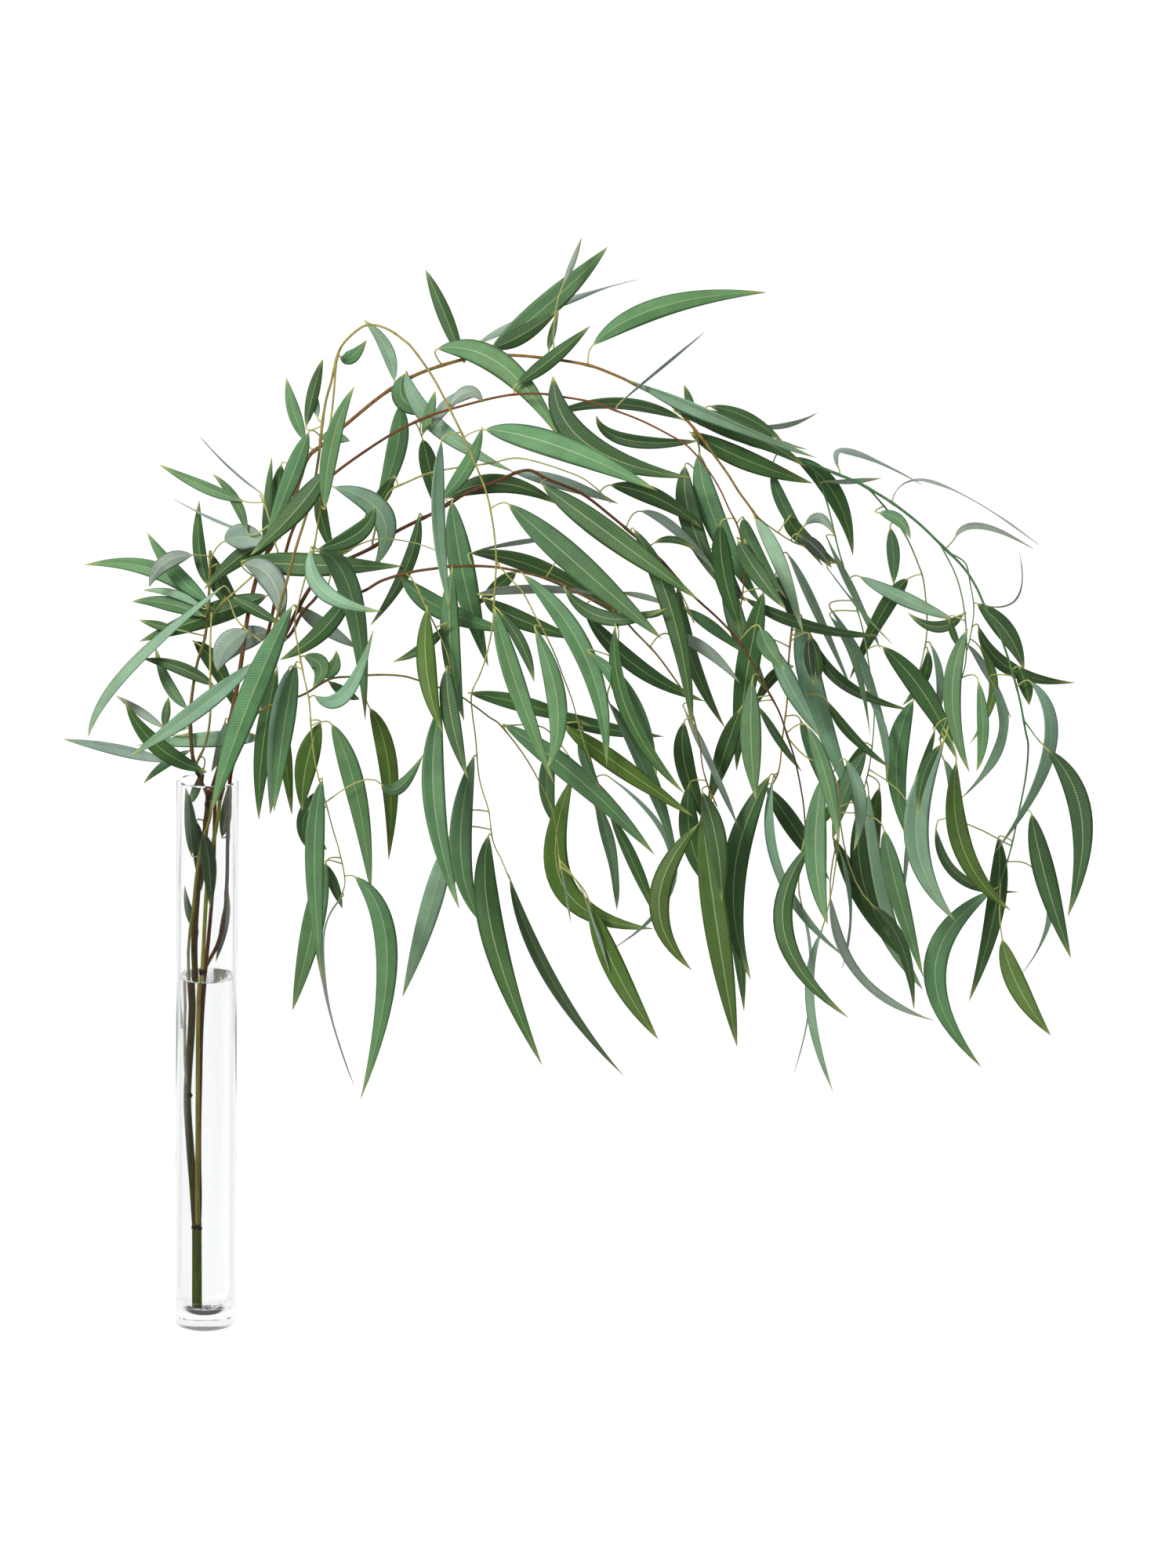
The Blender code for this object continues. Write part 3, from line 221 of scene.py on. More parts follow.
# Each stem: the node it belongs to, the node it grows from, its radius at both ends, its route.
# A route's point is where it is seen on the upright plane through the vase, and how far behind.
STEMS = [
    ("base_stem", "", 4.6, 4.3, ((-7.7, 14.7, -8), (-7.8, 50, -8), (-8, 90, -7), (-8, 97, -6.5))),
    ("base_stem", "base_stem", 3.7, 2.6, (
        (-8, 84, -6), (-11, 130, -4), (-14, 171, -2), (-16, 216, -1), (-12.5, 280, 0), (-11.5, 340, 0),
        (-10, 380, 0), (-6, 425, 0), (-2, 450, 0), (0, 470, 0), (1, 486, 0))),
    ("base_stem", "base_stem", 2.2, 1.9, (
        (-7.5, 86, -8.5), (-8, 130, -11.5), (-8, 171, -12), (-8, 280, -12), (-6.5, 310, -12),
        (-4, 329, -12))),
    ("base_stem", "base_stem", 1.8, 1.7, (
        (-4.5, 324, -12), (-3, 345, -12.5), (-1.5, 380, -13), (1, 420, -13), (4, 437, -12.5),
        (9, 465, -11), (11, 484, -10))),
    ("base_stem", "base_stem", 1.7, 1.6, (
        (-4.5, 324, -12), (2, 336, -10), (10, 353, -7), (15.5, 378, -5), (17.5, 410, -4), (18, 441, -3),
        (19, 470, -3), (19.5, 484, -3))),
    ("base_stem", "base_stem", 1.9, 1.7, (
        (-6, 88, -4), (-5, 120, 4), (-5.5, 165, 8), (-5, 220, 10), (-3, 300, 11), (5, 400, 10),
        (7, 484, 9))),
    ("base_stem", "base_stem", 1.4, 1.3, (
        (-15.5, 212, -1), (-18.5, 240, -4), (-19.5, 270, -5), (-19.5, 290, -6), (-18, 320, -7),
        (-15, 360, -9), (-12, 385, -10), (-9, 415, -13), (-4, 445, -16), (2, 465, -18), (4, 484, -18))),
    ("left_spray", "base_stem", 2.0, 1.2, (
        (1, 482, 0), (-6, 500, 3), (-13, 520, 6), (-15, 560, 8), (-10, 600, 10), (-3, 625, 12),
        (0, 650, 12), (1, 675, 12), (2, 702, 12))),
    ("left_spray", "left_spray", 1.4, 1.0, (
        (-11, 512, 5), (-2, 532, 1), (2, 556, -2), (2, 590, -4), (2, 625, -2), (3, 648, 0))),
    ("left_spray", "left_spray", 1.2, 0.9, (
        (0, 640, 12), (10, 655, 7), (20, 664, 3), (35, 678, -3), (47, 690, -8))),
    ("left_spray", "left_spray", 1.0, 0.8, (
        (17, 662, 4), (24, 644, -4), (33, 634, -10), (46, 624, -14))),
    ("high_arch", "base_stem", 2.6, 0.8, (
        (7, 482, 9), (13, 520, 14), (22, 565, 18), (28, 600, 22), (35, 650, 25), (45, 690, 27),
        (60, 718, 28), (72, 745, 28), (84, 783, 28), (98, 797, 28), (118, 815, 28), (150, 842, 28),
        (180, 860, 27), (222, 874, 25), (250, 877, 22), (280, 876, 20), (320, 871, 16), (345, 863, 14),
        (365, 854, 12), (395, 838, 10), (418, 815, 8), (432, 797, 6), (445, 780, 4), (455, 765, 2),
        (470, 745, 0), (482, 722, 0), (492, 703, 0), (502, 685, 0), (507, 668, 0), (505, 650, 0),
        (503, 620, 0), (503, 585, 0), (500, 550, 0), (498, 522, 0), (491, 505, -2))),
    ("high_arch", "high_arch", 1.1, 0.7, (
        (414, 819, 8), (420, 800, 16), (417, 780, 22), (420, 745, 28), (430, 715, 32), (446, 690, 34))),
    ("high_arch", "high_arch", 0.9, 0.7, (
        (470, 745, 0), (483, 735, 8), (505, 722, 14), (528, 716, 18))),
    ("far_spray", "high_arch", 1.8, 0.8, (
        (402, 832, 10), (440, 814, 20), (475, 803, 22), (518, 790, 20), (540, 782, 16), (558, 775, 12),
        (585, 760, 8), (610, 742, 4), (632, 722, 0), (650, 705, -4), (662, 688, -6), (672, 668, -8),
        (683, 650, -8), (692, 628, -8), (699, 608, -8), (705, 588, -8), (711, 562, -6), (714, 548, -4),
        (713, 520, -2), (708, 485, 0), (703, 455, 2), (697, 432, 3), (694, 418, 4))),
    ("far_spray", "far_spray", 1.0, 0.7, (
        (566, 771, 11), (585, 750, 20), (600, 730, 24), (612, 705, 26), (617, 690, 26), (621, 660, 26),
        (621, 640, 26), (617, 615, 26), (612, 598, 26))),
    ("far_spray", "far_spray", 0.9, 0.6, (
        (629, 725, 0), (643, 700, -14), (650, 680, -20), (654, 660, -22), (656, 640, -22),
        (656, 620, -22), (652, 603, -22), (647, 588, -20), (641, 568, -18), (636, 552, -16))),
    ("far_spray", "far_spray", 0.8, 0.6, (
        (638, 717, -1), (652, 708, 10), (657, 690, 14), (661, 670, 16), (660, 650, 16), (657, 632, 16))),
    ("far_spray", "far_spray", 1.0, 0.6, (
        (516, 791, 20), (530, 760, 30), (543, 715, 32), (556, 678, 30), (566, 648, 28), (573, 615, 26),
        (578, 585, 24), (579, 560, 22), (577, 530, 20), (573, 508, 18))),
    ("far_spray", "far_spray", 0.8, 0.6, (
        (709, 572, -7), (722, 555, -14), (730, 548, -16))),
    ("second_arch", "base_stem", 2.1, 0.7, (
        (19.5, 482, -3), (19.8, 503, -3), (24.5, 522, -2), (34, 550, 0), (45, 600, 6), (58, 660, 8),
        (66, 700, 8), (75, 728, 8), (93, 757, 8), (108, 772, 8), (130, 789, 8), (158, 808, 8), (185, 822, 6),
        (207, 830, 4), (250, 842, 0), (280, 845, -2), (300, 843, -4), (327, 839, -6), (345, 833, -8),
        (370, 824, -10), (395, 812, -12), (410, 803, -14), (425, 787, -16), (438, 768, -18),
        (447, 750, -18), (455, 735, -18), (461, 712, -18), (462, 690, -18), (460, 665, -18))),
    ("second_arch", "second_arch", 1.1, 0.8, (
        (57, 656, 8), (62, 690, -2), (57, 712, -5), (50, 738, -5), (44, 752, -5))),
    ("middle_arch", "base_stem", 2.5, 0.8, (
        (1, 482, 0), (8, 505, 0), (18, 540, -4), (28, 570, -6), (38, 590, -7), (50, 608, -7),
        (62, 622, -7), (75, 648, -6), (88, 672, -4), (104, 690, -3), (118, 697, -2), (140, 708, -2),
        (160, 722, -2), (180, 733, -2), (195, 741, -4), (220, 757, -8), (245, 768, -12),
        (272, 779, -16), (290, 772, -18), (320, 760, -20), (345, 742, -21), (372, 720, -22),
        (392, 702, -23), (412, 680, -24), (425, 668, -24), (440, 655, -24), (455, 640, -24),
        (463, 630, -24), (478, 605, -24), (487, 590, -24), (497, 572, -24), (505, 550, -24),
        (512, 530, -24), (519, 500, -24), (522, 480, -24), (524, 455, -24))),
    ("middle_arch", "middle_arch", 1.2, 0.7, (
        (140, 708, -2), (146, 735, 2), (155, 757, 3), (168, 765, 3), (195, 776, 0), (240, 784, -3),
        (268, 789, -6), (312, 777, -8), (330, 767, -10), (345, 753, -12))),
    ("middle_arch", "middle_arch", 0.9, 0.7, (
        (392, 702, -23), (400, 690, -10), (412, 668, -4), (420, 650, -2))),
    ("middle_arch", "middle_arch", 0.9, 0.6, (
        (505, 550, -24), (520, 535, -30), (545, 520, -34), (552, 490, -34), (552, 455, -32))),
    ("low_arch", "middle_arch", 1.8, 0.7, (
        (60, 620, -7), (72, 632, -18), (80, 648, -24), (90, 660, -27), (100, 668, -29), (130, 669, -31),
        (150, 680, -31), (175, 688, -31), (197, 692, -30), (210, 694, -29), (250, 694, -24),
        (297, 684, -24), (320, 673, -26), (350, 660, -28), (370, 640, -30), (388, 622, -32),
        (405, 600, -34), (413, 588, -34), (421, 570, -34), (428, 545, -34), (431, 525, -34),
        (436, 508, -34), (445, 488, -34))),
    ("low_arch", "low_arch", 0.9, 0.6, (
        (172, 687, -31), (180, 675, -40), (187, 660, -44), (198, 638, -46), (207, 618, -46),
        (210, 600, -46), (206, 582, -46), (202, 568, -46))),
    ("low_arch", "low_arch", 0.8, 0.6, (
        (102, 668, -29), (108, 690, -24), (120, 705, -22), (145, 716, -20), (175, 714, -20),
        (195, 708, -20))),
    ("low_arch", "low_arch", 0.8, 0.6, (
        (350, 660, -28), (355, 640, -40), (353, 615, -46), (350, 590, -48))),
    ("lowest_arch", "base_stem", 1.5, 0.6, (
        (4, 482, -18), (12, 512, -23), (24, 540, -29), (40, 558, -32), (60, 570, -33), (83, 578, -33),
        (105, 592, -33), (125, 595, -33), (145, 597, -32), (165, 597, -30), (180, 594, -26),
        (215, 582, -18), (230, 573, -16), (245, 562, -16), (255, 555, -16), (275, 530, -16),
        (290, 505, -16), (300, 485, -16), (304, 470, -16), (308, 440, -16), (309, 425, -16))),
    ("lowest_arch", "lowest_arch", 0.8, 0.6, (
        (255, 555, -16), (285, 556, -8), (300, 548, -4), (318, 525, 0), (332, 505, 2), (340, 480, 4))),
    ("front_arch", "base_stem", 1.8, 0.6, (
        (11, 482, -10), (20, 520, -15), (34, 565, -21), (50, 610, -27), (62, 655, -31), (75, 705, -35),
        (88, 750, -38), (94, 785, -40), (97, 815, -41), (100, 835, -41), (104, 850, -42),
        (108, 868, -42), (112, 880, -43), (120, 890, -43), (130, 898, -44), (137, 900, -44),
        (145, 899, -44), (155, 895, -45), (165, 888, -45), (173, 881, -46), (190, 858, -46),
        (203, 835, -46), (218, 806, -45), (228, 784, -44), (238, 760, -42), (243, 740, -41),
        (246, 722, -40), (248, 700, -40), (247, 670, -40), (246, 645, -40), (242, 620, -38),
        (236, 600, -37), (229, 583, -36), (230, 565, -36), (233, 545, -36), (236, 515, -35),
        (239, 500, -34), (246, 478, -34), (250, 452, -33), (258, 435, -32), (265, 418, -32))),
    ("front_arch", "front_arch", 1.1, 0.6, (
        (108, 866, -42), (106, 835, -49), (102, 800, -54), (98, 765, -58), (95, 735, -60),
        (91, 708, -62), (86, 690, -62), (79, 662, -62), (75, 640, -62), (79, 615, -62), (83, 595, -62),
        (88, 572, -62), (90, 548, -61), (93, 522, -60), (98, 500, -58), (104, 480, -56),
        (110, 458, -54), (116, 438, -52), (121, 412, -50), (117, 397, -49))),
    ("front_arch", "front_arch", 0.9, 0.6, (
        (248, 698, -40), (262, 683, -46), (272, 672, -50), (283, 652, -54), (290, 640, -56),
        (300, 620, -56), (308, 600, -56), (316, 580, -56), (322, 560, -56), (328, 540, -56),
        (334, 525, -56))),
]


def as_seen(x, z, depth):
    """The real point that is seen at x, z on the upright plane and lies this far behind it."""
    on_plane = Vector((x, 0.0, z))
    return EYE + (on_plane - EYE) * (1.0 - depth / EYE.y)


def spread(x, z):
    """How much deeper than its routes say the branch lies at x, z."""
    if abs(x) < VASE_RADIUS and z < VASE_HEIGHT:
        return 1.0
    away = (math.hypot(x, z - VASE_HEIGHT) - SPREAD_START) / (SPREAD_FULL - SPREAD_START)
    return 1.0 + (DEPTH_SPREAD - 1.0) * min(max(away, 0.0), 1.0)


def smooth_route(points):
    """Close points along a smooth curve through the given ones."""
    real = [as_seen(x, z, depth * spread(x, z)) for x, z, depth in points]
    ends = [2 * real[0] - real[1]] + real + [2 * real[-1] - real[-2]]
    fine = []
    for before, start, end, after in zip(ends, ends[1:], ends[2:], ends[3:]):
        steps = max(1, round((end - start).length / FINE_SPACING))
        for step in range(steps):
            t = step / steps
            bend = 2 * before - 5 * start + 4 * end - after
            twist = 3 * start - before - 3 * end + after
            fine.append(start + 0.5 * t * ((end - before) + t * (bend + t * twist)))
    fine.append(real[-1])
    return fine


def cut_route(route, along):
    """The route's two halves, cut this far along it."""
    walked = 0.0
    for index, (start, end) in enumerate(zip(route, route[1:])):
        step = (end - start).length
        if walked + step > along:
            cut = start.lerp(end, (along - walked) / step)
            return route[:index + 1] + [cut], [cut] + route[index + 1:]
        walked += step
    return route, []


def radius_at(stem, place):
    """The stem's radius at a place on its route."""
    start, end = stem["radii"]
    return start + (end - start) * place / (len(stem["route"]) - 1)


def nearest_place(grown, node, start):
    """The stem of a node, and the place on it, where a twig that starts here grows from."""
    return min(
        ((stem, place) for stem in grown if stem["node"] == node
            for place in range(ROOT_STEP, len(stem["route"]) - 2, ROOT_STEP)),
        key=lambda spot: (spot[0]["route"][spot[1]] - start).length)


def outside_of(carrier, place, route, radius):
    """The rest of a twig's route, from where the twig is clear of the stem that it grows from."""
    clear = radius_at(carrier, place) + radius + TWIG_START
    near = carrier["route"][max(place - NEAR_PLACES, 0):place + NEAR_PLACES]
    for index, point in enumerate(route):
        if min((point - other).length for other in near) > clear:
            return route[index:]


def stem_record(node, route, radii, carrier=None, place=0, stub=None):
    """What is known of one stem: its node, its route, and what it grows from."""
    return {
        "node": node, "route": route, "radii": radii, "roots": set(), "carrier": carrier,
        "place": place, "stub": stub}


grown = []
for node, parent, radius_start, radius_end, points in STEMS:
    route = smooth_route(points)
    carrier, place = None, 0
    if parent and parent != "base_stem":
        carrier, place = nearest_place(grown, parent, route[0])
        carrier["roots"].add(place)
        route = outside_of(carrier, place, route, radius_start)
    if parent and parent != node:
        stub, rest = cut_route(route, STUB)
        rest = cut_route(rest, SEAT_GAP)[1]
        grown.append(stem_record(parent, stub, (radius_start, radius_start), carrier, place))
        grown.append(stem_record(node, rest, (radius_start, radius_end), stub=stub[-1]))
    else:
        grown.append(stem_record(node, route, (radius_start, radius_end), carrier, place))


def through_water(point):
    """Where a stem's point is drawn, and how much finer: water in a round glass widens what it shows."""
    depth = (WATER_TOP + WIDENING_STEP - point.z) / (2 * WIDENING_STEP)
    share = 1 - (1 - WIDENED) * min(max(depth, 0.0), 1.0)
    return Vector((point.x * share, point.y * share, point.z)), share


def new_shape():
    """An empty mesh in the making. Each point has a tint, and its place across and along."""
    return {"points": [], "faces": [], "slots": [], "tints": [], "across": [], "along": []}


def sweep(shape, rings, slot, tints, across, along):
    """Skins a row of rings into a closed tube in the shape. All rings have as many points."""
    first = len(shape["points"])
    sides = len(rings[0])
    for ring, tint, far in zip(rings, tints, along):
        shape["points"] += ring
        shape["tints"] += [tint] * sides
        shape["along"] += [far] * sides
        shape["across"] += across
    for row in range(len(rings) - 1):
        for side in range(sides):
            near, near_next = first + row * sides + side, first + row * sides + (side + 1) % sides
            shape["faces"].append((near, near_next, near_next + sides, near + sides))
            shape["slots"].append(slot[side] if isinstance(slot, list) else slot)
    last = first + (len(rings) - 1) * sides
    shape["faces"] += [
        tuple(range(first + sides - 1, first - 1, -1)), tuple(range(last, last + sides))]
    shape["slots"] += [slot[0] if isinstance(slot, list) else slot] * 2


def frames_along(route):
    """A direction and a steady side direction at each point of a route."""
    frames = []
    side = None
    for index, point in enumerate(route):
        before, after = route[max(index - 1, 0)], route[min(index + 1, len(route) - 1)]
        along = (after - before).normalized()
        if side is None:
            side = along.orthogonal().normalized()
        side = (side - along * side.dot(along)).normalized()
        frames.append((point, along, side))
    return frames


def add_stem(shape, stem, slot, tints, sides, slimmer=1.0):
    """Adds one stem. Where a leaf or twig grows from it, the bark swells into a small knee."""
    route = list(stem["route"])
    radii = [radius_at(stem, place) * slimmer for place in range(len(route))]
    for place in range(len(route)):
        for root in stem["roots"]:
            radii[place] *= 1 + KNEE_SWELL * math.exp(-((place - root) / KNEE_LENGTH) ** 2)
    if stem["stub"] is not None:
        route.insert(0, stem["stub"])
        radii.insert(0, radii[0])
    if stem["carrier"]:
        route.insert(0, stem["carrier"]["route"][stem["place"]])
        radii.insert(0, radii[0] * COLLAR_SWELL)
    if stem["node"] == "base_stem":
        drawn = [through_water(point) for point in route]
        route = [point for point, share in drawn]
        radii = [radius * share for radius, (point, share) in zip(radii, drawn)]
    rings = []
    for (point, along, side), radius in zip(frames_along(route), radii):
        other = along.cross(side)
        rings.append([
            point + (side * math.cos(turn) + other * math.sin(turn)) * radius
            for turn in (math.tau * step / sides for step in range(sides))])
    beyond = frames_along(route)[-1][1] * radii[-1] / 2
    rings.append([route[-1] + (corner - route[-1]) * TIP_TAPER + beyond for corner in rings[-1]])
    count = len(rings)
    start, end = (Vector(linear(tint)[:3]) for tint in tints)
    colours = [tuple(start.lerp(end, (row / (count - 1)) ** TINT_BEND)) for row in range(count)]
    along = [row * FINE_SPACING for row in range(count)]
    sweep(shape, rings, slot, colours, [math.cos(math.tau * s / sides) for s in range(sides)], along)


scar_draw = random.Random(SCAR_SEED)


def add_scar(shape, place, radius, slot):
    """Adds a rough, scaly knob round a stem."""
    rings = []
    for step in range(SCAR_STEPS + 1):
        turn = math.pi * (0.04 + 0.92 * step / SCAR_STEPS)
        height = -SCAR_LENGTH * math.cos(turn)
        rings.append([
            place + Vector((math.cos(side) * math.sin(turn), math.sin(side) * math.sin(turn), height))
            * radius * scar_draw.uniform(*SCAR_ROUGHNESS)
            for side in (math.tau * s / SCAR_SIDES for s in range(SCAR_SIDES))])
    tints = [tuple(linear(SCAR_TINT)[:3])] * len(rings)
    sweep(shape, rings, slot, tints, [0.0] * SCAR_SIDES, list(range(len(rings))))


def finished_piece(name, shape, materials):
    """The shape as an object, in metres, with its tints and its places as attributes."""
    mesh = bpy.data.meshes.new(name)
    mesh.from_pydata([point * MM for point in shape["points"]], [], shape["faces"])
    for material in materials:
        mesh.materials.append(material)
    mesh.polygons.foreach_set("material_index", shape["slots"])
    mesh.polygons.foreach_set("use_smooth", [True] * len(mesh.polygons))
    tint = mesh.attributes.new("tint", "FLOAT_COLOR", "POINT")
    tint.data.foreach_set("color", [c for tint in shape["tints"] for c in (*tint, 1.0)])
    for place in ("across", "along"):
        mesh.attributes.new(place, "FLOAT", "POINT").data.foreach_set("value", shape[place])
    mesh.update()
    piece = bpy.data.objects.new(name, mesh)
    bpy.context.scene.collection.objects.link(piece)
    return piece


# Young eucalyptus bark, smooth and slightly waxy: streaked along the stem, with pale pores.
bark, bark_shader = new_material("young eucalyptus bark", Roughness=0.55, Specular_IOR_Level=0.15)
bark_tint = add_node(bark, "ShaderNodeAttribute", {"attribute_name": "tint"})
bark_place = add_node(bark, "ShaderNodeTexCoord")
bark_stretch = add_node(
    bark, "ShaderNodeMapping", {"Scale": (420, 420, 60)}, {"Vector": bark_place.outputs["Object"]})
bark_streaks = add_node(
    bark, "ShaderNodeTexNoise", {"Scale": 1.0, "Detail": 4.0}, {"Vector": bark_stretch.outputs[0]})
bark_strength = add_node(
    bark, "ShaderNodeMapRange",
    {"From Min": 0.3, "From Max": 0.7, "To Min": 0.7, "To Max": 1.3},
    {"Value": bark_streaks.outputs["Fac"]})
bark_colour = add_node(
    bark, "ShaderNodeMix", {"data_type": "RGBA", "blend_type": "MULTIPLY", 0: 1.0},
    {6: bark_tint.outputs["Color"], 7: bark_strength.outputs[0]})
bark_bump = add_node(
    bark, "ShaderNodeBump", {"Strength": 0.35, "Distance": 0.0004},
    {"Height": bark_streaks.outputs["Fac"]})
bark.node_tree.links.new(bark_colour.outputs[2], bark_shader.inputs["Base Color"])
bark.node_tree.links.new(bark_bump.outputs[0], bark_shader.inputs["Normal"])

# The leaves
# Long, narrow leaves with a thick, tough blade and a waxy bloom. Each grew on a short stalk that
# turns its edge to the sun, so some show a face and others an edge. The midrib stands out.

STALK_WIDTH = 1.3
SLIM_BLADE = 0.085
WIDEST_SLIM_BLADE = 13.0
LEAST_ROLL = 0.12
BLADE_TWIST = 0.07
LEAF_SEED = 23
TRIES = 90
FIRST_LEAN = (0.05, 0.4)
LEAN_STEP = 0.03
MOST_LEAN = 0.8
STEADY_TRIES = 12
FLAT_LEAN = 0.3
STALK_REACH = 30.0

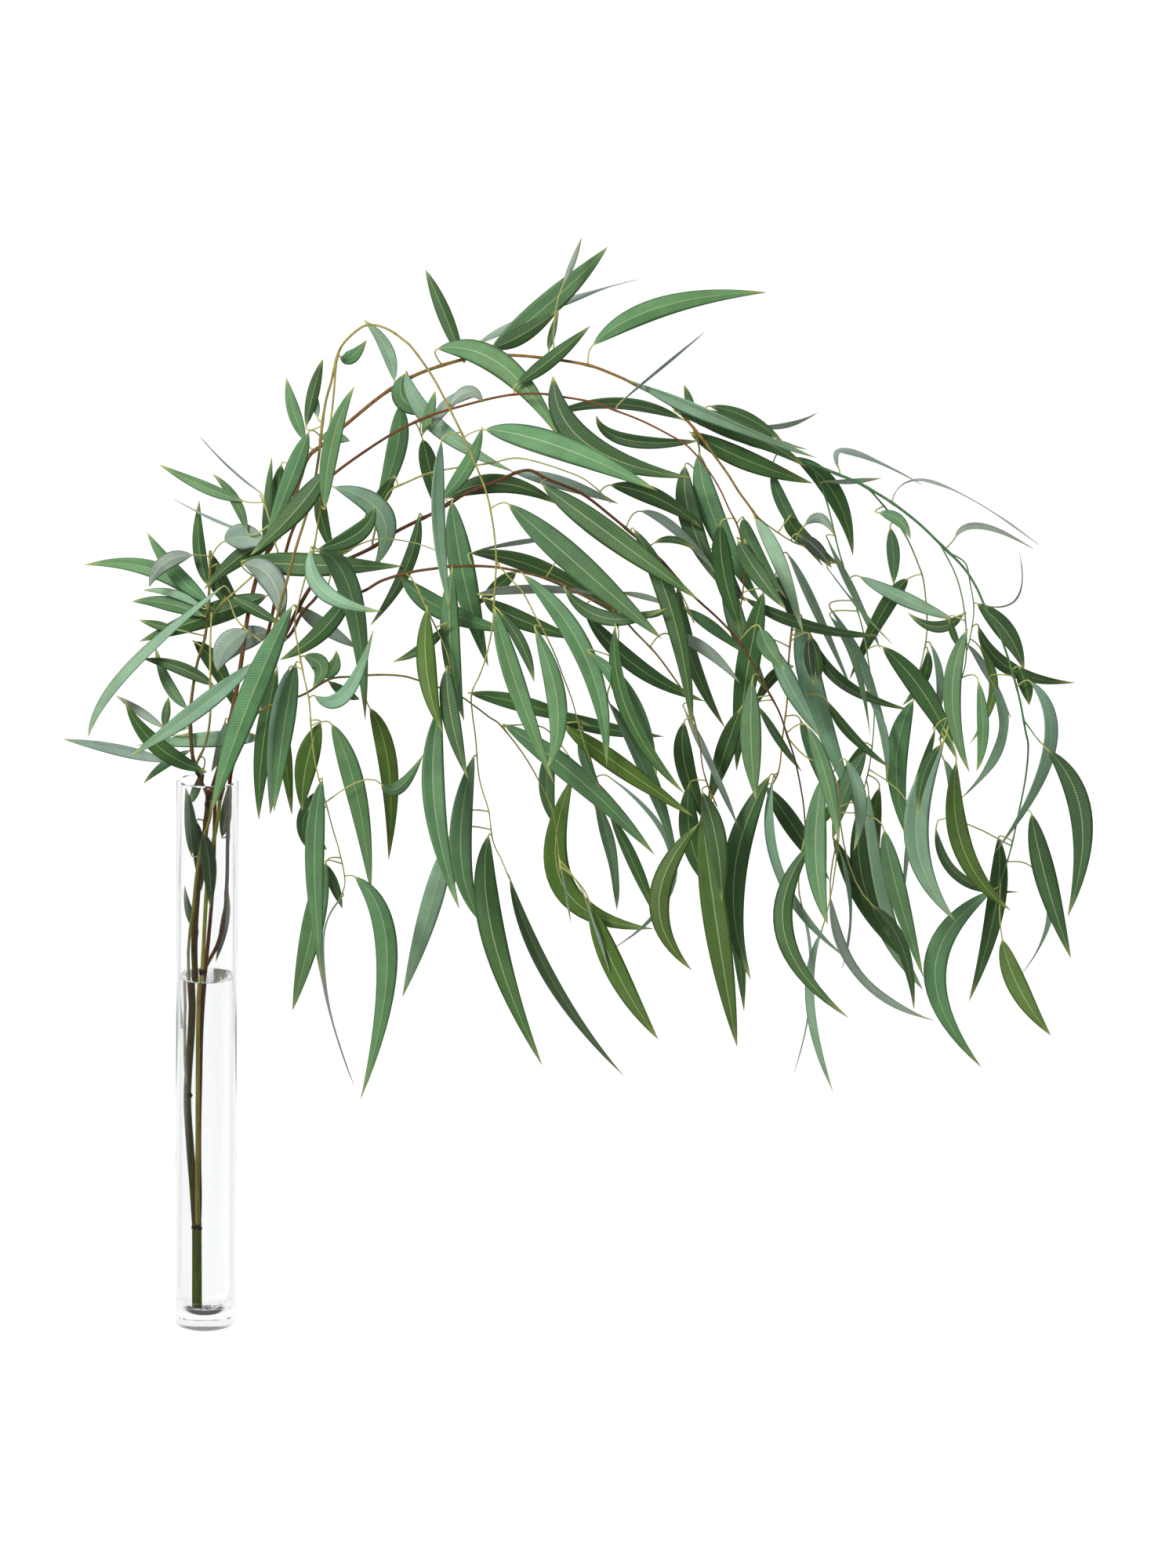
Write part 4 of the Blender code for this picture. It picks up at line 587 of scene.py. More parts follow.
# Each leaf: its colour, then where the blade starts, its middle and its tip are seen, and how
# wide it looks. A capital letter lies in front. K is dark green, partly painted shade, B blue-green,
# P pale, G grey, O olive, and D is painted deep shade: a near-black blade where shadow falls.
LEAVES = [
    # beside and in the mouth of the vase
    ("B", 72, 655, 34, 565, 3, 470, 17), ("p", 70, 600, 62, 540, 55, 470, 15),
    ("k", 60, 600, 48, 530, 45, 465, 12), ("b", 76, 605, 66, 545, 58, 472, 13),
    ("P", 40, 605, -12, 560, -68, 519, 12), ("p", 45, 538, 0, 536, -62, 529, 11),
    ("G", -34, 515, -80, 525, -126, 533, 8), ("K", -3, 508, -45, 530, -72, 568, 12),
    ("g", -38, 545, -60, 560, -80, 573, 6), ("k", -38, 545, -36, 560, -34, 573, 6),
    ("b", -15, 526, -38, 512, -56, 495, 6), ("b", -18, 563, -35, 585, -46, 618, 8),
    ("k", 5, 584, -25, 599, -57, 606, 9), ("k", -12, 622, 8, 600, 24, 562, 12),
    ("P", 12, 671, -72, 595, -104, 535, 9), ("K", 50, 664, 0, 645, -60, 621, 16),
    ("G", 34, 632, 16, 618, 8, 596, 17), ("k", -30, 633, -44, 636, -60, 640, 6),
    ("b", -4, 645, -35, 655, -66, 656, 10), ("p", -5, 652, -30, 664, -57, 666, 6),
    ("b", 0, 652, -45, 684, -107, 687, 12), ("b", 0, 658, -28, 682, -53, 717, 11),
    ("G", -14, 698, -38, 690, -51, 669, 11), ("k", 0, 672, -8, 705, -8, 746, 9),
    ("G", 14, 711, 32, 715, 50, 708, 18), ("K", 60, 714, 28, 698, -4, 668, 12),
    ("G", 31, 691, 55, 678, 64, 640, 17), ("K", 30, 694, 90, 692, 168, 693, 16),
    ("b", 33, 720, 22, 748, 3, 769, 7), ("b", 30, 746, -5, 758, -43, 776, 8),
    ("g", 48, 715, 10, 728, -30, 746, 3), ("g", 44, 754, 16, 777, -8, 801, 2),
    ("b", 48, 706, 51, 748, 54, 785, 6), ("k", 62, 778, 57, 745, 47, 702, 10),
    ("B", 85, 806, 70, 765, 48, 708, 12), ("K", 100, 774, 74, 738, 36, 699, 14),
    ("k", 62, 640, 34, 655, 22, 662, 8), ("k", 8, 690, 6, 672, 18, 655, 7),
    ("k", -3, 512, -14, 480, -24, 470, 7), ("g", 15, 552, 12, 530, 3, 507, 8),
    # between the vase and the front arch
    ("b", 82, 800, 72, 826, 66, 853, 9), ("k", 83, 812, 90, 845, 97, 870, 8),
    ("p", 93, 820, 91, 832, 90, 844, 5), ("B", 100, 742, 106, 800, 124, 847, 11),
    ("p", 96, 802, 108, 803, 121, 800, 9), ("P", 108, 760, 150, 735, 142, 690, 16),
    ("b", 112, 872, 122, 873, 134, 887, 9), ("p", 158, 853, 150, 882, 131, 904, 9),
    ("P", 168, 860, 195, 815, 262, 777, 12), ("B", 166, 858, 168, 835, 200, 828, 14),
    ("g", 205, 832, 222, 845, 234, 836, 9), ("g", 192, 815, 205, 835, 226, 846, 8),
    ("b", 163, 832, 160, 790, 142, 738, 14), ("k", 158, 770, 148, 752, 134, 735, 9),
    ("k", 183, 803, 190, 775, 197, 740, 12), ("b", 183, 808, 189, 828, 193, 845, 7),
    ("B", 200, 752, 222, 782, 234, 816, 10), ("P", 199, 802, 197, 735, 209, 655, 10),
    ("k", 205, 753, 250, 767, 300, 750, 13), ("k", 96, 760, 98, 730, 110, 700, 9),
    ("K", 181, 738, 170, 690, 140, 640, 9), ("P", 88, 705, 101, 668, 150, 653, 11),
    ("b", 95, 704, 124, 665, 137, 556, 15), ("g", 76, 656, 102, 637, 130, 620, 10),
    ("k", 124, 672, 98, 634, 62, 608, 12), ("p", 93, 577, 120, 580, 143, 637, 10),
    ("b", 83, 612, 98, 603, 91, 584, 12), ("b", 95, 598, 108, 602, 111, 618, 10),
    ("k", 95, 706, 130, 722, 142, 745, 12), ("o", 100, 700, 125, 715, 150, 748, 9),
    ("k", 105, 590, 120, 580, 132, 575, 7), ("b", 108, 552, 130, 492, 144, 402, 14),
    ("o", 98, 553, 86, 515, 83, 474, 15), ("O", 141, 567, 158, 515, 159, 432, 13),
    ("b", 152, 500, 168, 498, 188, 528, 9), ("B", 100, 502, 94, 430, 102, 318, 13),
    ("b", 104, 428, 92, 365, 76, 293, 15), ("g", 118, 397, 101, 335, 131, 226, 4),
    ("k", 104, 427, 112, 407, 119, 387, 7), ("B", 130, 416, 159, 345, 137, 212, 15),
    ("k", 90, 478, 92, 455, 105, 440, 12), ("o", 63, 560, 68, 520, 74, 470, 9),
    # the upper edge, along the high arch
    ("k", 216, 872, 198, 915, 183, 948, 10), ("B", 195, 881, 250, 868, 301, 806, 17),
    ("g", 228, 886, 290, 920, 363, 944, 6), ("b", 240, 882, 292, 925, 337, 971, 16),
    ("k", 242, 883, 268, 896, 297, 917, 12), ("g", 300, 938, 308, 958, 315, 979, 4),
    ("k", 289, 882, 292, 898, 297, 918, 5), ("k", 262, 852, 293, 876, 324, 904, 10),
    ("b", 327, 888, 385, 922, 473, 936, 14), ("g", 352, 840, 387, 870, 421, 901, 3),
    ("K", 294, 858, 325, 802, 415, 776, 17), ("k", 405, 826, 345, 838, 286, 824, 9),
    ("k", 418, 808, 355, 808, 331, 828, 9), ("P", 362, 857, 440, 826, 520, 796, 9),
    ("k", 412, 830, 410, 842, 405, 856, 6), ("g", 468, 822, 495, 824, 520, 835, 4),
    ("k", 428, 838, 462, 828, 492, 808, 8), ("K", 400, 832, 455, 818, 512, 788, 14),
    ("k", 412, 815, 462, 792, 518, 774, 14), ("g", 470, 812, 490, 808, 512, 803, 3),
    ("B", 237, 813, 300, 800, 385, 764, 17), ("g", 262, 777, 305, 768, 352, 752, 9),
    ("K", 287, 766, 350, 722, 424, 670, 16), ("k", 345, 768, 385, 758, 424, 733, 12),
    ("B", 258, 749, 322, 695, 393, 635, 18), ("k", 502, 796, 537, 765, 555, 712, 13),
    # the middle: leaves that hang from the second and middle arches
    ("K", 408, 786, 416, 735, 445, 680, 15), ("B", 420, 797, 436, 738, 478, 667, 16),
    ("b", 483, 783, 497, 748, 530, 702, 9), ("P", 470, 742, 492, 705, 515, 642, 10),
    ("k", 440, 737, 445, 692, 462, 643, 14), ("B", 446, 702, 459, 645, 488, 588, 13),
    ("b", 460, 742, 470, 715, 500, 672, 10), ("k", 500, 745, 508, 730, 545, 703, 11),
    ("g", 372, 746, 402, 730, 442, 690, 7), ("k", 384, 719, 402, 722, 422, 712, 5),
    ("K", 366, 730, 402, 655, 422, 552, 13), ("k", 405, 682, 418, 620, 450, 558, 11),
    ("b", 412, 662, 438, 645, 465, 624, 8), ("g", 397, 640, 430, 627, 462, 597, 8),
    ("g", 355, 675, 380, 671, 398, 664, 4), ("k", 366, 657, 385, 657, 405, 666, 5),
    ("k", 479, 678, 467, 605, 461, 520, 16), ("k", 505, 613, 488, 602, 474, 574, 8),
    ("k", 462, 574, 450, 535, 437, 488, 13), ("k", 463, 673, 520, 650, 581, 643, 9),
    ("B", 209, 750, 221, 682, 243, 607, 17), ("B", 210, 690, 210, 625, 223, 558, 13),
    ("b", 167, 683, 205, 655, 263, 638, 14), ("O", 189, 656, 190, 600, 204, 548, 13),
    ("K", 207, 604, 212, 560, 227, 507, 12), ("k", 207, 643, 186, 622, 160, 609, 7),
    ("k", 226, 706, 290, 692, 362, 650, 12), ("g", 234, 671, 285, 677, 342, 672, 7),
    ("k", 238, 666, 272, 648, 322, 633, 12), ("B", 272, 688, 328, 615, 348, 521, 14),
    ("g", 300, 722, 262, 716, 228, 707, 4), ("k", 265, 690, 250, 678, 232, 660, 9),
    ("k", 326, 656, 372, 610, 432, 581, 12), ("K", 352, 645, 366, 568, 417, 498, 11),
    ("B", 330, 622, 370, 575, 392, 512, 11), ("k", 228, 583, 280, 573, 335, 556, 11),
    ("k", 286, 571, 340, 556, 397, 549, 10), ("B", 283, 641, 304, 572, 296, 518, 13),
    ("b", 300, 540, 296, 500, 306, 465, 11), ("B", 248, 656, 268, 590, 303, 503, 13),
    ("k", 252, 655, 272, 626, 283, 594, 8), ("b", 326, 553, 330, 525, 344, 500, 8),
    # the lower edge: long leaves that hang free
    ("B", 202, 570, 198, 485, 222, 389, 15), ("p", 213, 456, 195, 385, 173, 308, 14),
    ("B", 232, 527, 222, 440, 243, 376, 15), ("K", 246, 456, 252, 365, 298, 248, 17),
    ("k", 266, 417, 306, 325, 370, 241, 10), ("O", 318, 509, 313, 412, 393, 376, 17),
    ("b", 336, 500, 354, 445, 360, 392, 9), ("k", 352, 478, 376, 430, 396, 384, 9),
    ("P", 350, 512, 408, 430, 353, 354, 6), ("B", 258, 556, 325, 508, 392, 443, 15),
    ("O", 336, 399, 362, 335, 400, 275, 15), ("g", 333, 400, 345, 365, 356, 334, 3),
    ("O", 428, 470, 397, 400, 428, 339, 14), ("O", 432, 482, 450, 372, 470, 270, 17),
    ("K", 450, 442, 465, 375, 475, 303, 11), ("K", 490, 516, 462, 425, 480, 332, 17),
    ("k", 420, 506, 424, 455, 444, 411, 14), ("o", 310, 556, 362, 520, 425, 478, 13),
    ("b", 349, 577, 383, 515, 413, 436, 11), ("k", 414, 562, 417, 520, 440, 468, 13),
    ("g", 413, 576, 437, 530, 465, 468, 6), ("k", 478, 578, 497, 548, 518, 521, 6),
    ("k", 488, 506, 515, 468, 546, 424, 13), ("P", 493, 513, 508, 420, 576, 345, 8),
    ("K", 530, 458, 508, 375, 568, 299, 13), ("p", 522, 402, 534, 330, 521, 247, 4),
    ("p", 540, 376, 534, 310, 556, 232, 8), ("g", 547, 410, 574, 338, 643, 299, 8),
    ("p", 553, 452, 566, 402, 560, 344, 4), ("B", 536, 516, 533, 445, 546, 384, 15),
    ("k", 548, 462, 580, 402, 620, 350, 13), ("k", 585, 402, 612, 365, 625, 308, 9),
    ("P", 577, 502, 590, 405, 632, 327, 17), ("k", 570, 492, 575, 425, 602, 374, 13),
    ("P", 556, 532, 570, 495, 566, 451, 9), ("o", 570, 546, 556, 510, 533, 468, 12),
    # the right-hand end
    ("b", 612, 586, 600, 530, 614, 461, 15), ("P", 640, 549, 620, 465, 658, 390, 17),
    ("k", 637, 473, 660, 430, 712, 418, 8), ("O", 652, 532, 662, 455, 706, 401, 14),
    ("k", 692, 466, 692, 400, 673, 317, 13), ("B", 688, 418, 642, 345, 687, 257, 16),
    ("O", 700, 374, 717, 330, 747, 288, 14), ("p", 722, 441, 742, 400, 718, 343, 5),
    ("K", 720, 488, 736, 428, 761, 359, 15), ("K", 731, 546, 764, 485, 756, 396, 15),
    ("P", 713, 606, 732, 545, 689, 452, 10), ("K", 664, 673, 691, 648, 707, 616, 13),
    ("k", 666, 653, 695, 617, 752, 606, 10), ("k", 703, 618, 709, 603, 713, 585, 10),
    ("b", 586, 737, 590, 712, 591, 688, 9), ("k", 603, 693, 583, 664, 556, 603, 11),
    ("P", 562, 694, 605, 674, 646, 658, 10), ("k", 652, 664, 630, 652, 604, 664, 8),
    ("B", 656, 649, 646, 590, 664, 524, 12), ("g", 657, 637, 676, 611, 698, 573, 6),
    ("o", 667, 636, 682, 598, 663, 549, 7), ("p", 678, 607, 692, 555, 656, 499, 8),
    ("k", 521, 643, 550, 600, 612, 578, 9), ("K", 584, 633, 622, 592, 651, 537, 15),
    ("p", 532, 727, 560, 675, 582, 631, 6), ("p", 537, 666, 576, 592, 597, 505, 8),
    ("P", 513, 657, 526, 590, 567, 488, 16), ("k", 521, 641, 528, 620, 530, 598, 7),
    ("P", 486, 634, 508, 592, 533, 552, 12), ("k", 538, 584, 562, 553, 597, 525, 7),
    ("b", 515, 567, 530, 530, 548, 488, 8), ("k", 623, 631, 620, 606, 603, 582, 8),
    ("p", 625, 637, 635, 600, 630, 560, 6), ("g", 540, 787, 548, 803, 612, 775, 5),
    ("g", 530, 776, 553, 777, 577, 780, 4), ("g", 587, 762, 625, 776, 714, 726, 3),
    ("g", 642, 730, 665, 740, 710, 722, 5), ("g", 674, 671, 699, 680, 698, 718, 2),
    ("p", 641, 535, 650, 510, 645, 483, 6),
    ("k", 632, 561, 624, 530, 611, 499, 5), ("k", 640, 660, 645, 645, 652, 632, 5),
]


# Leaves too small or too hidden for the solids, written the same way. Its d leaves and a few of its
# dark k leaves are painted shade: dark blades laid where shadow falls among the leaves.
FILLING_LEAVES = [
    ("b", 576, 750, 593, 744, 604, 728, 8), ("p", 499, 712, 528, 655, 560, 592, 7),
    ("b", 534, 700, 560, 668, 592, 636, 3), ("b", 538, 658, 560, 618, 576, 556, 6),
    ("g", 513, 738, 526, 744, 538, 730, 7), ("k", 456, 722, 474, 694, 499, 664, 12),
    ("k", 432, 500, 446, 455, 452, 402, 14), ("g", 310, 430, 315, 405, 320, 380, 2),
    ("b", 472, 600, 473, 545, 479, 495, 14), ("b", 522, 560, 540, 515, 553, 458, 11),
    ("b", 573, 540, 557, 505, 547, 460, 12), ("o", 586, 508, 582, 465, 588, 410, 11),
    ("B", 592, 470, 606, 415, 632, 338, 13), ("p", 616, 478, 613, 440, 611, 402, 4),
    ("k", 638, 548, 624, 520, 621, 484, 7), ("b", 668, 605, 674, 560, 670, 525, 8),
    ("k", 96, 492, 85, 462, 94, 436, 11), ("k", 222, 472, 216, 440, 217, 408, 10),
    ("g", 52, 632, 30, 624, 8, 600, 15), ("k", 2, 700, 14, 672, 30, 650, 9),
    ("b", 478, 646, 486, 628, 500, 611, 12), ("p", 572, 592, 588, 555, 592, 512, 6),
    ("k", 308, 676, 345, 652, 396, 662, 10), ("d", 462, 722, 474, 695, 497, 666, 9),
    ("d", 490, 692, 502, 670, 509, 648, 10), ("d", 437, 714, 446, 692, 464, 670, 13),
    ("d", 520, 640, 521, 620, 526, 598, 7), ("d", 508, 729, 524, 717, 537, 701, 9)]

# Leaves on the base stem, inside the vase, written the same way
LEAVES_IN_VASE = [
    ("b", -9, 362, -17, 380, -21, 403, 6), ("g", 19, 396, 15, 365, 8, 335, 6),
    ("k", -13.7, 432, -15, 462, -19, 492, 8), ("k", -10, 460, -7, 430, -5, 398, 9),
    ("K", -3, 452, 2, 420, 3, 384, 10), ("k", 13, 448, 17, 470, 19, 496, 8),
    ("k", 20, 490, 17, 470, 14, 450, 5), ("g", -17, 276, -19, 290, -19, 314, 3)]

# The tints of the leaves' colours: where the blade starts, and at its tip. The dark k tints are
# partly painted shade, and the near-black d tints are painted deep shade.
LEAF_TINTS = {
    "k": ("2A4E24", "345824"), "b": ("4A724A", "4E7646"), "p": ("70947A", "6C8E6C"),
    "g": ("86998A", "7E9484"), "o": ("3F5E14", "3E5A12"), "d": ("10241A", "142C1C")}
STALK_TINT = "A3A55C"
WIDER = 1.3  # how much wider the fine blades are than their slim solids


def free_spots(stems):
    """The places on the stems that bear nothing yet, and where each is seen on the upright plane."""
    spots = []
    for stem in stems:
        places = range(ROOT_STEP, len(stem["route"]) - 2, ROOT_STEP)
        for place in sorted(set(places) - stem["roots"]):
            real = stem["route"][place]
            flat = EYE + (real - EYE) * (EYE.y / (EYE.y - real.y))
            spots.append((flat.x, flat.z, stem, place))
    return spots


def take_spot(spots, seen):
    """The free place on a stem that is seen nearest to where a leaf starts."""
    spot = min(spots, key=lambda spot: math.hypot(spot[0] - seen[0][0], spot[1] - seen[0][1]))
    spots.remove(spot)
    spot[2]["roots"].add(spot[3])
    return spot[2:]


def blade_spine(seen, depths):
    """The blade's midrib as a function from 0 at its start to 1 at its tip."""
    start, middle, end = seen
    bend = (2 * middle[0] - (start[0] + end[0]) / 2, 2 * middle[1] - (start[1] + end[1]) / 2)

    def spine(t):
        a, b, c = (1 - t) ** 2, 2 * t * (1 - t), t * t
        x = a * start[0] + b * bend[0] + c * end[0]
        z = a * start[1] + b * bend[1] + c * end[1]
        return as_seen(x, z, depths[0] + (depths[1] - depths[0]) * t)

    return spine


# Each leaf leans forward or back as its solid in the frame does, which its tip there tells
tips = {}
for name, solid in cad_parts.items():
    tree = KDTree(len(solid.data.vertices))
    for index, vertex in enumerate(solid.data.vertices):
        tree.insert(vertex.co / MM, index)
    tree.balance()
    tips[name] = tree
spots = free_spots([stem for stem in grown if stem["node"] != "base_stem"])
draw = random.Random(LEAF_SEED)
leaves = []
for letter, *numbers, look_width in LEAVES:
    seen = list(zip(numbers[0::2], numbers[1::2]))
    leaves.append([letter, seen, look_width, *take_spot(spots, seen)])
for leaf in leaves:
    letter, seen, look_width, stem, place = leaf
    root = stem["route"][place]
    out = radius_at(stem, place) + STALK_START
    way = -1.0 if letter.isupper() else 1.0
    roll_side = draw.choice((-1.0, 1.0))
    draw.uniform(-BLADE_TWIST, BLADE_TWIST)  # the solid's own twist, drawn to keep step with it
    first_lean = draw.uniform(*FIRST_LEAN)
    reach = math.dist(seen[0], seen[2])
    found = []
    for attempt in range(TRIES):
        lean = way * ((first_lean + LEAN_STEP * (attempt // 2)) % MOST_LEAN)
        if attempt >= STEADY_TRIES and attempt % 2:
            lean = -lean
        near = root.y + lean * STALK_REACH + math.copysign(out, lean)
        depths = (near, near + lean * reach * (FLAT_LEAN if attempt % 2 else 1.0))
        found.append((tips[stem["node"]].find(as_seen(*seen[2], depths[1]))[2], attempt, depths))
    leaf += [roll_side, min(found)[2]]

# A filling leaf leans whichever way keeps it furthest from the leaves that are there, but it
# stays inside the model's box
FILLING_LEANS = (-0.7, -0.5, -0.3, -0.12, 0.12, 0.3, 0.5, 0.7)
SPINE_STEPS = 12
BLADE_ROOM = 8.0
FRONT, REAR = cad_box[0][1] / MM + BLADE_ROOM, cad_box[1][1] / MM - BLADE_ROOM


def spine_points(seen, depths):
    """Points along a blade's midrib."""
    spine = blade_spine(seen, depths)
    return [spine(step / SPINE_STEPS) for step in range(1, SPINE_STEPS + 1)]


there = [point for leaf in leaves for point in spine_points(leaf[1], leaf[6])]
for letter, *numbers, look_width in FILLING_LEAVES:
    seen = list(zip(numbers[0::2], numbers[1::2]))
    stem, place = take_spot(spots, seen)
    root = stem["route"][place]
    out = radius_at(stem, place) + STALK_START
    reach = math.dist(seen[0], seen[2])
    taken = KDTree(len(there))
    for index, point in enumerate(there):
        taken.insert(point, index)
    taken.balance()
    found = []
    for lean in FILLING_LEANS:
        near = root.y + lean * STALK_REACH + math.copysign(out, lean)
        depths = (near, near + lean * reach)
        points = spine_points(seen, depths)
        inside = all(FRONT < point.y < REAR for point in points)
        clear = min(taken.find(point)[2] for point in points)
        found.append((inside, clear, lean, depths, points))
    clearest = max(found)
    leaves.append([letter, seen, look_width, stem, place, 1.0, clearest[3]])
    there += clearest[4]

STALK_STEPS = 5
BLADE_STEPS = 22
CROWDING = 1.25  # the power that sets a blade's rings closer together near its start
SHORT_LEAF = 45.0
WIDEST = 0.8  # the power that puts a blade's widest place nearer its start than its tip
FULLNESS = 0.85
ACROSS = (-1.0, -0.72, -0.4, -0.1, 0.0, 0.1, 0.4, 0.72, 1.0)
BLADE_THICK = 0.5
TIP_WIDTH = 0.12
ELBOW = 0.4
TWIST = 0.35
FOLD = (0.08, 0.32)
WAVE = 0.05
WAVE_COUNT = (1.0, 2.4)
LIGHTNESS = (0.82, 1.2)
WARMTH = 0.06
MIDRIB_WIDTH = 0.12
MIDRIB_GROOVE = 0.12
MIDRIB_RIDGE = 0.25
VEIN_SLANT = -5.0
VEIN_PITCH = 2.6
BLADE_SEED = 4
blade_draw = random.Random(BLADE_SEED)


def add_leaf(shape, letter, seen, look_width, root, roll_side, depths, shade=1.0):
    """Adds one leaf: a round stalk that flattens into a folded, gently waved sickle blade."""
    spine = blade_spine(seen, depths)
    length = (spine(0.5) - spine(0)).length + (spine(1) - spine(0.5)).length
    width = max(look_width, min(SLIM_BLADE * length, WIDEST_SLIM_BLADE))
    roll = roll_side * (math.acos(min(1.0, look_width / width)) + LEAST_ROLL)
    width *= WIDER
    twist = blade_draw.uniform(-TWIST, TWIST)
    fold = blade_draw.uniform(*FOLD) * blade_draw.choice((-1, 1))
    wave = blade_draw.uniform(0.0, WAVE) * width
    waves = blade_draw.uniform(*WAVE_COUNT)
    phase = blade_draw.uniform(0, math.tau)
    steps = BLADE_STEPS if length > SHORT_LEAF else BLADE_STEPS // 2
    start = spine(0)
    elbow = start - (spine(0.05) - start).normalized() * (start - root).length * ELBOW
    route = []
    for step in range(STALK_STEPS):
        t = step / STALK_STEPS
        route.append((root * (1 - t) ** 2 + elbow * 2 * t * (1 - t) + start * t * t, 0.0))
    for step in range(steps + 1):
        t = (step / steps) ** CROWDING
        route.append((spine(t), t))
    light = blade_draw.uniform(*LIGHTNESS) * shade
    warm = blade_draw.uniform(-WARMTH, WARMTH)
    start, end = (Vector(linear(tint)[:3]) * light for tint in LEAF_TINTS[letter.lower()])
    start.x *= 1 + warm
    end.x *= 1 + 2 * warm
    stalk = Vector(linear(STALK_TINT)[:3])
    rings, tints, places = [], [], []
    points = [point for point, t in route]
    walked = 0.0
    for (point, along, _), (_, t) in zip(frames_along(points), route):
        flat = along.cross(point - EYE).normalized()
        turn = roll + twist * (t - 0.5)
        side = flat * math.cos(turn) + flat.cross(along) * math.sin(turn)
        up = side.cross(along)
        share = math.sin(math.pi * t ** WIDEST) ** FULLNESS if 0 < t < 1 else 0.0
        wide = max(width * share, STALK_WIDTH if t < 0.5 else TIP_WIDTH)
        body = min(max((wide - STALK_WIDTH) / 4, 0.0), 1.0)  # 0 on the stalk, 1 on the blade
        thick = STALK_WIDTH * (1 - body) + BLADE_THICK * body
        thick *= 1.0 if t < 0.9 else max(0.3, (1 - t) / 0.1)
        top, bottom = [], []
        for u in ACROSS:
            lift = body * (fold * abs(u) * wide / 2 * (1 - 0.5 * t))
            lift += body * wave * u * abs(u) * math.sin(math.tau * waves * t + phase)
            half = thick / 2 * math.sqrt(max(1 - u * u, 0.0))
            rib = body * math.exp(-(u / MIDRIB_WIDTH) ** 2)
            bent = point + side * wide / 2 * u + up * lift
            top.append(bent + up * (half - MIDRIB_GROOVE * rib))
            bottom.append(bent - up * (half + MIDRIB_RIDGE * rib * (1 - t)))
        rings.append(top + bottom[-2:0:-1])
        tints.append(tuple(stalk.lerp(start.lerp(end, t), body ** 0.5)))
        walked += (point - points[max(len(rings) - 2, 0)]).length
        places.append(walked)
    across = list(ACROSS) + list(ACROSS)[-2:0:-1]
    sides = len(across)
    under = [1 if side < len(ACROSS) - 1 else 2 for side in range(sides)]
    if letter.lower() == "g":
        under = [3 - slot for slot in under]
    sweep(shape, rings, under, tints, across, places)


def overlay(material, colour, mask, bounds, tint):
    """A colour with a tint laid over it. The bounds say from where to where the mask runs, and how
    strong the tint is at each end."""
    low, high, strength_low, strength_high = bounds
    strength = add_node(
        material, "ShaderNodeMapRange",
        {"From Min": low, "From Max": high, "To Min": strength_low, "To Max": strength_high},
        {"Value": mask})
    laid = add_node(
        material, "ShaderNodeMix", {"data_type": "RGBA", 7: linear(tint)},
        {0: strength.outputs[0], 6: colour})
    return laid.outputs[2]


def leaf_material(name, lift, roughness):
    """Living eucalyptus leaf: a pale midrib and margin, faint side veins and a mottled bloom."""
    leaf, shader = new_material(name, Roughness=roughness, Specular_IOR_Level=0.45)
    tint = add_node(leaf, "ShaderNodeAttribute", {"attribute_name": "tint"})
    across = add_node(leaf, "ShaderNodeAttribute", {"attribute_name": "across"})
    along = add_node(leaf, "ShaderNodeAttribute", {"attribute_name": "along"})
    place = add_node(leaf, "ShaderNodeTexCoord")
    away = add_node(leaf, "ShaderNodeMath", {"operation": "ABSOLUTE"}, {0: across.outputs["Fac"]})
    bloom = add_node(
        leaf, "ShaderNodeTexNoise", {"Scale": 55.0, "Detail": 6.0},
        {"Vector": place.outputs["Object"]})
    mottle = add_node(
        leaf, "ShaderNodeMapRange",
        {"From Min": 0.3, "From Max": 0.7, "To Min": 0.86 * lift, "To Max": 1.14 * lift},
        {"Value": bloom.outputs["Fac"]})
    green = add_node(
        leaf, "ShaderNodeMix", {"data_type": "RGBA", "blend_type": "MULTIPLY", 0: 1.0},
        {6: tint.outputs["Color"], 7: mottle.outputs[0]})
    slant = add_node(
        leaf, "ShaderNodeMath", {"operation": "MULTIPLY_ADD", 1: VEIN_SLANT},
        {0: away.outputs[0], 2: along.outputs["Fac"]})
    vein = add_node(
        leaf, "ShaderNodeMath", {"operation": "MULTIPLY", 1: VEIN_PITCH}, {0: slant.outputs[0]})
    wave = add_node(leaf, "ShaderNodeMath", {"operation": "SINE"}, {0: vein.outputs[0]})
    veined = overlay(leaf, green.outputs[2], wave.outputs[0], (0.7, 1.0, 0.0, 0.16), "B7C79A")
    ribbed = overlay(leaf, veined, away.outputs[0], (0.015, 0.06, 0.6, 0.0), "B9C48B")
    edged = overlay(leaf, ribbed, away.outputs[0], (0.92, 1.0, 0.0, 0.4), "B5B98A")
    leaf.node_tree.links.new(edged, shader.inputs["Base Color"])
    relief = add_node(
        leaf, "ShaderNodeBump", {"Strength": 0.25, "Distance": 0.0003}, {"Height": wave.outputs[0]})
    leaf.node_tree.links.new(relief.outputs[0], shader.inputs["Normal"])
    return leaf


leaf_face = leaf_material("eucalyptus leaf, upper face", 1.0, 0.42)
leaf_back = leaf_material("eucalyptus leaf, under face", 1.25, 0.55)
branch_materials = [bark, leaf_face, leaf_back]

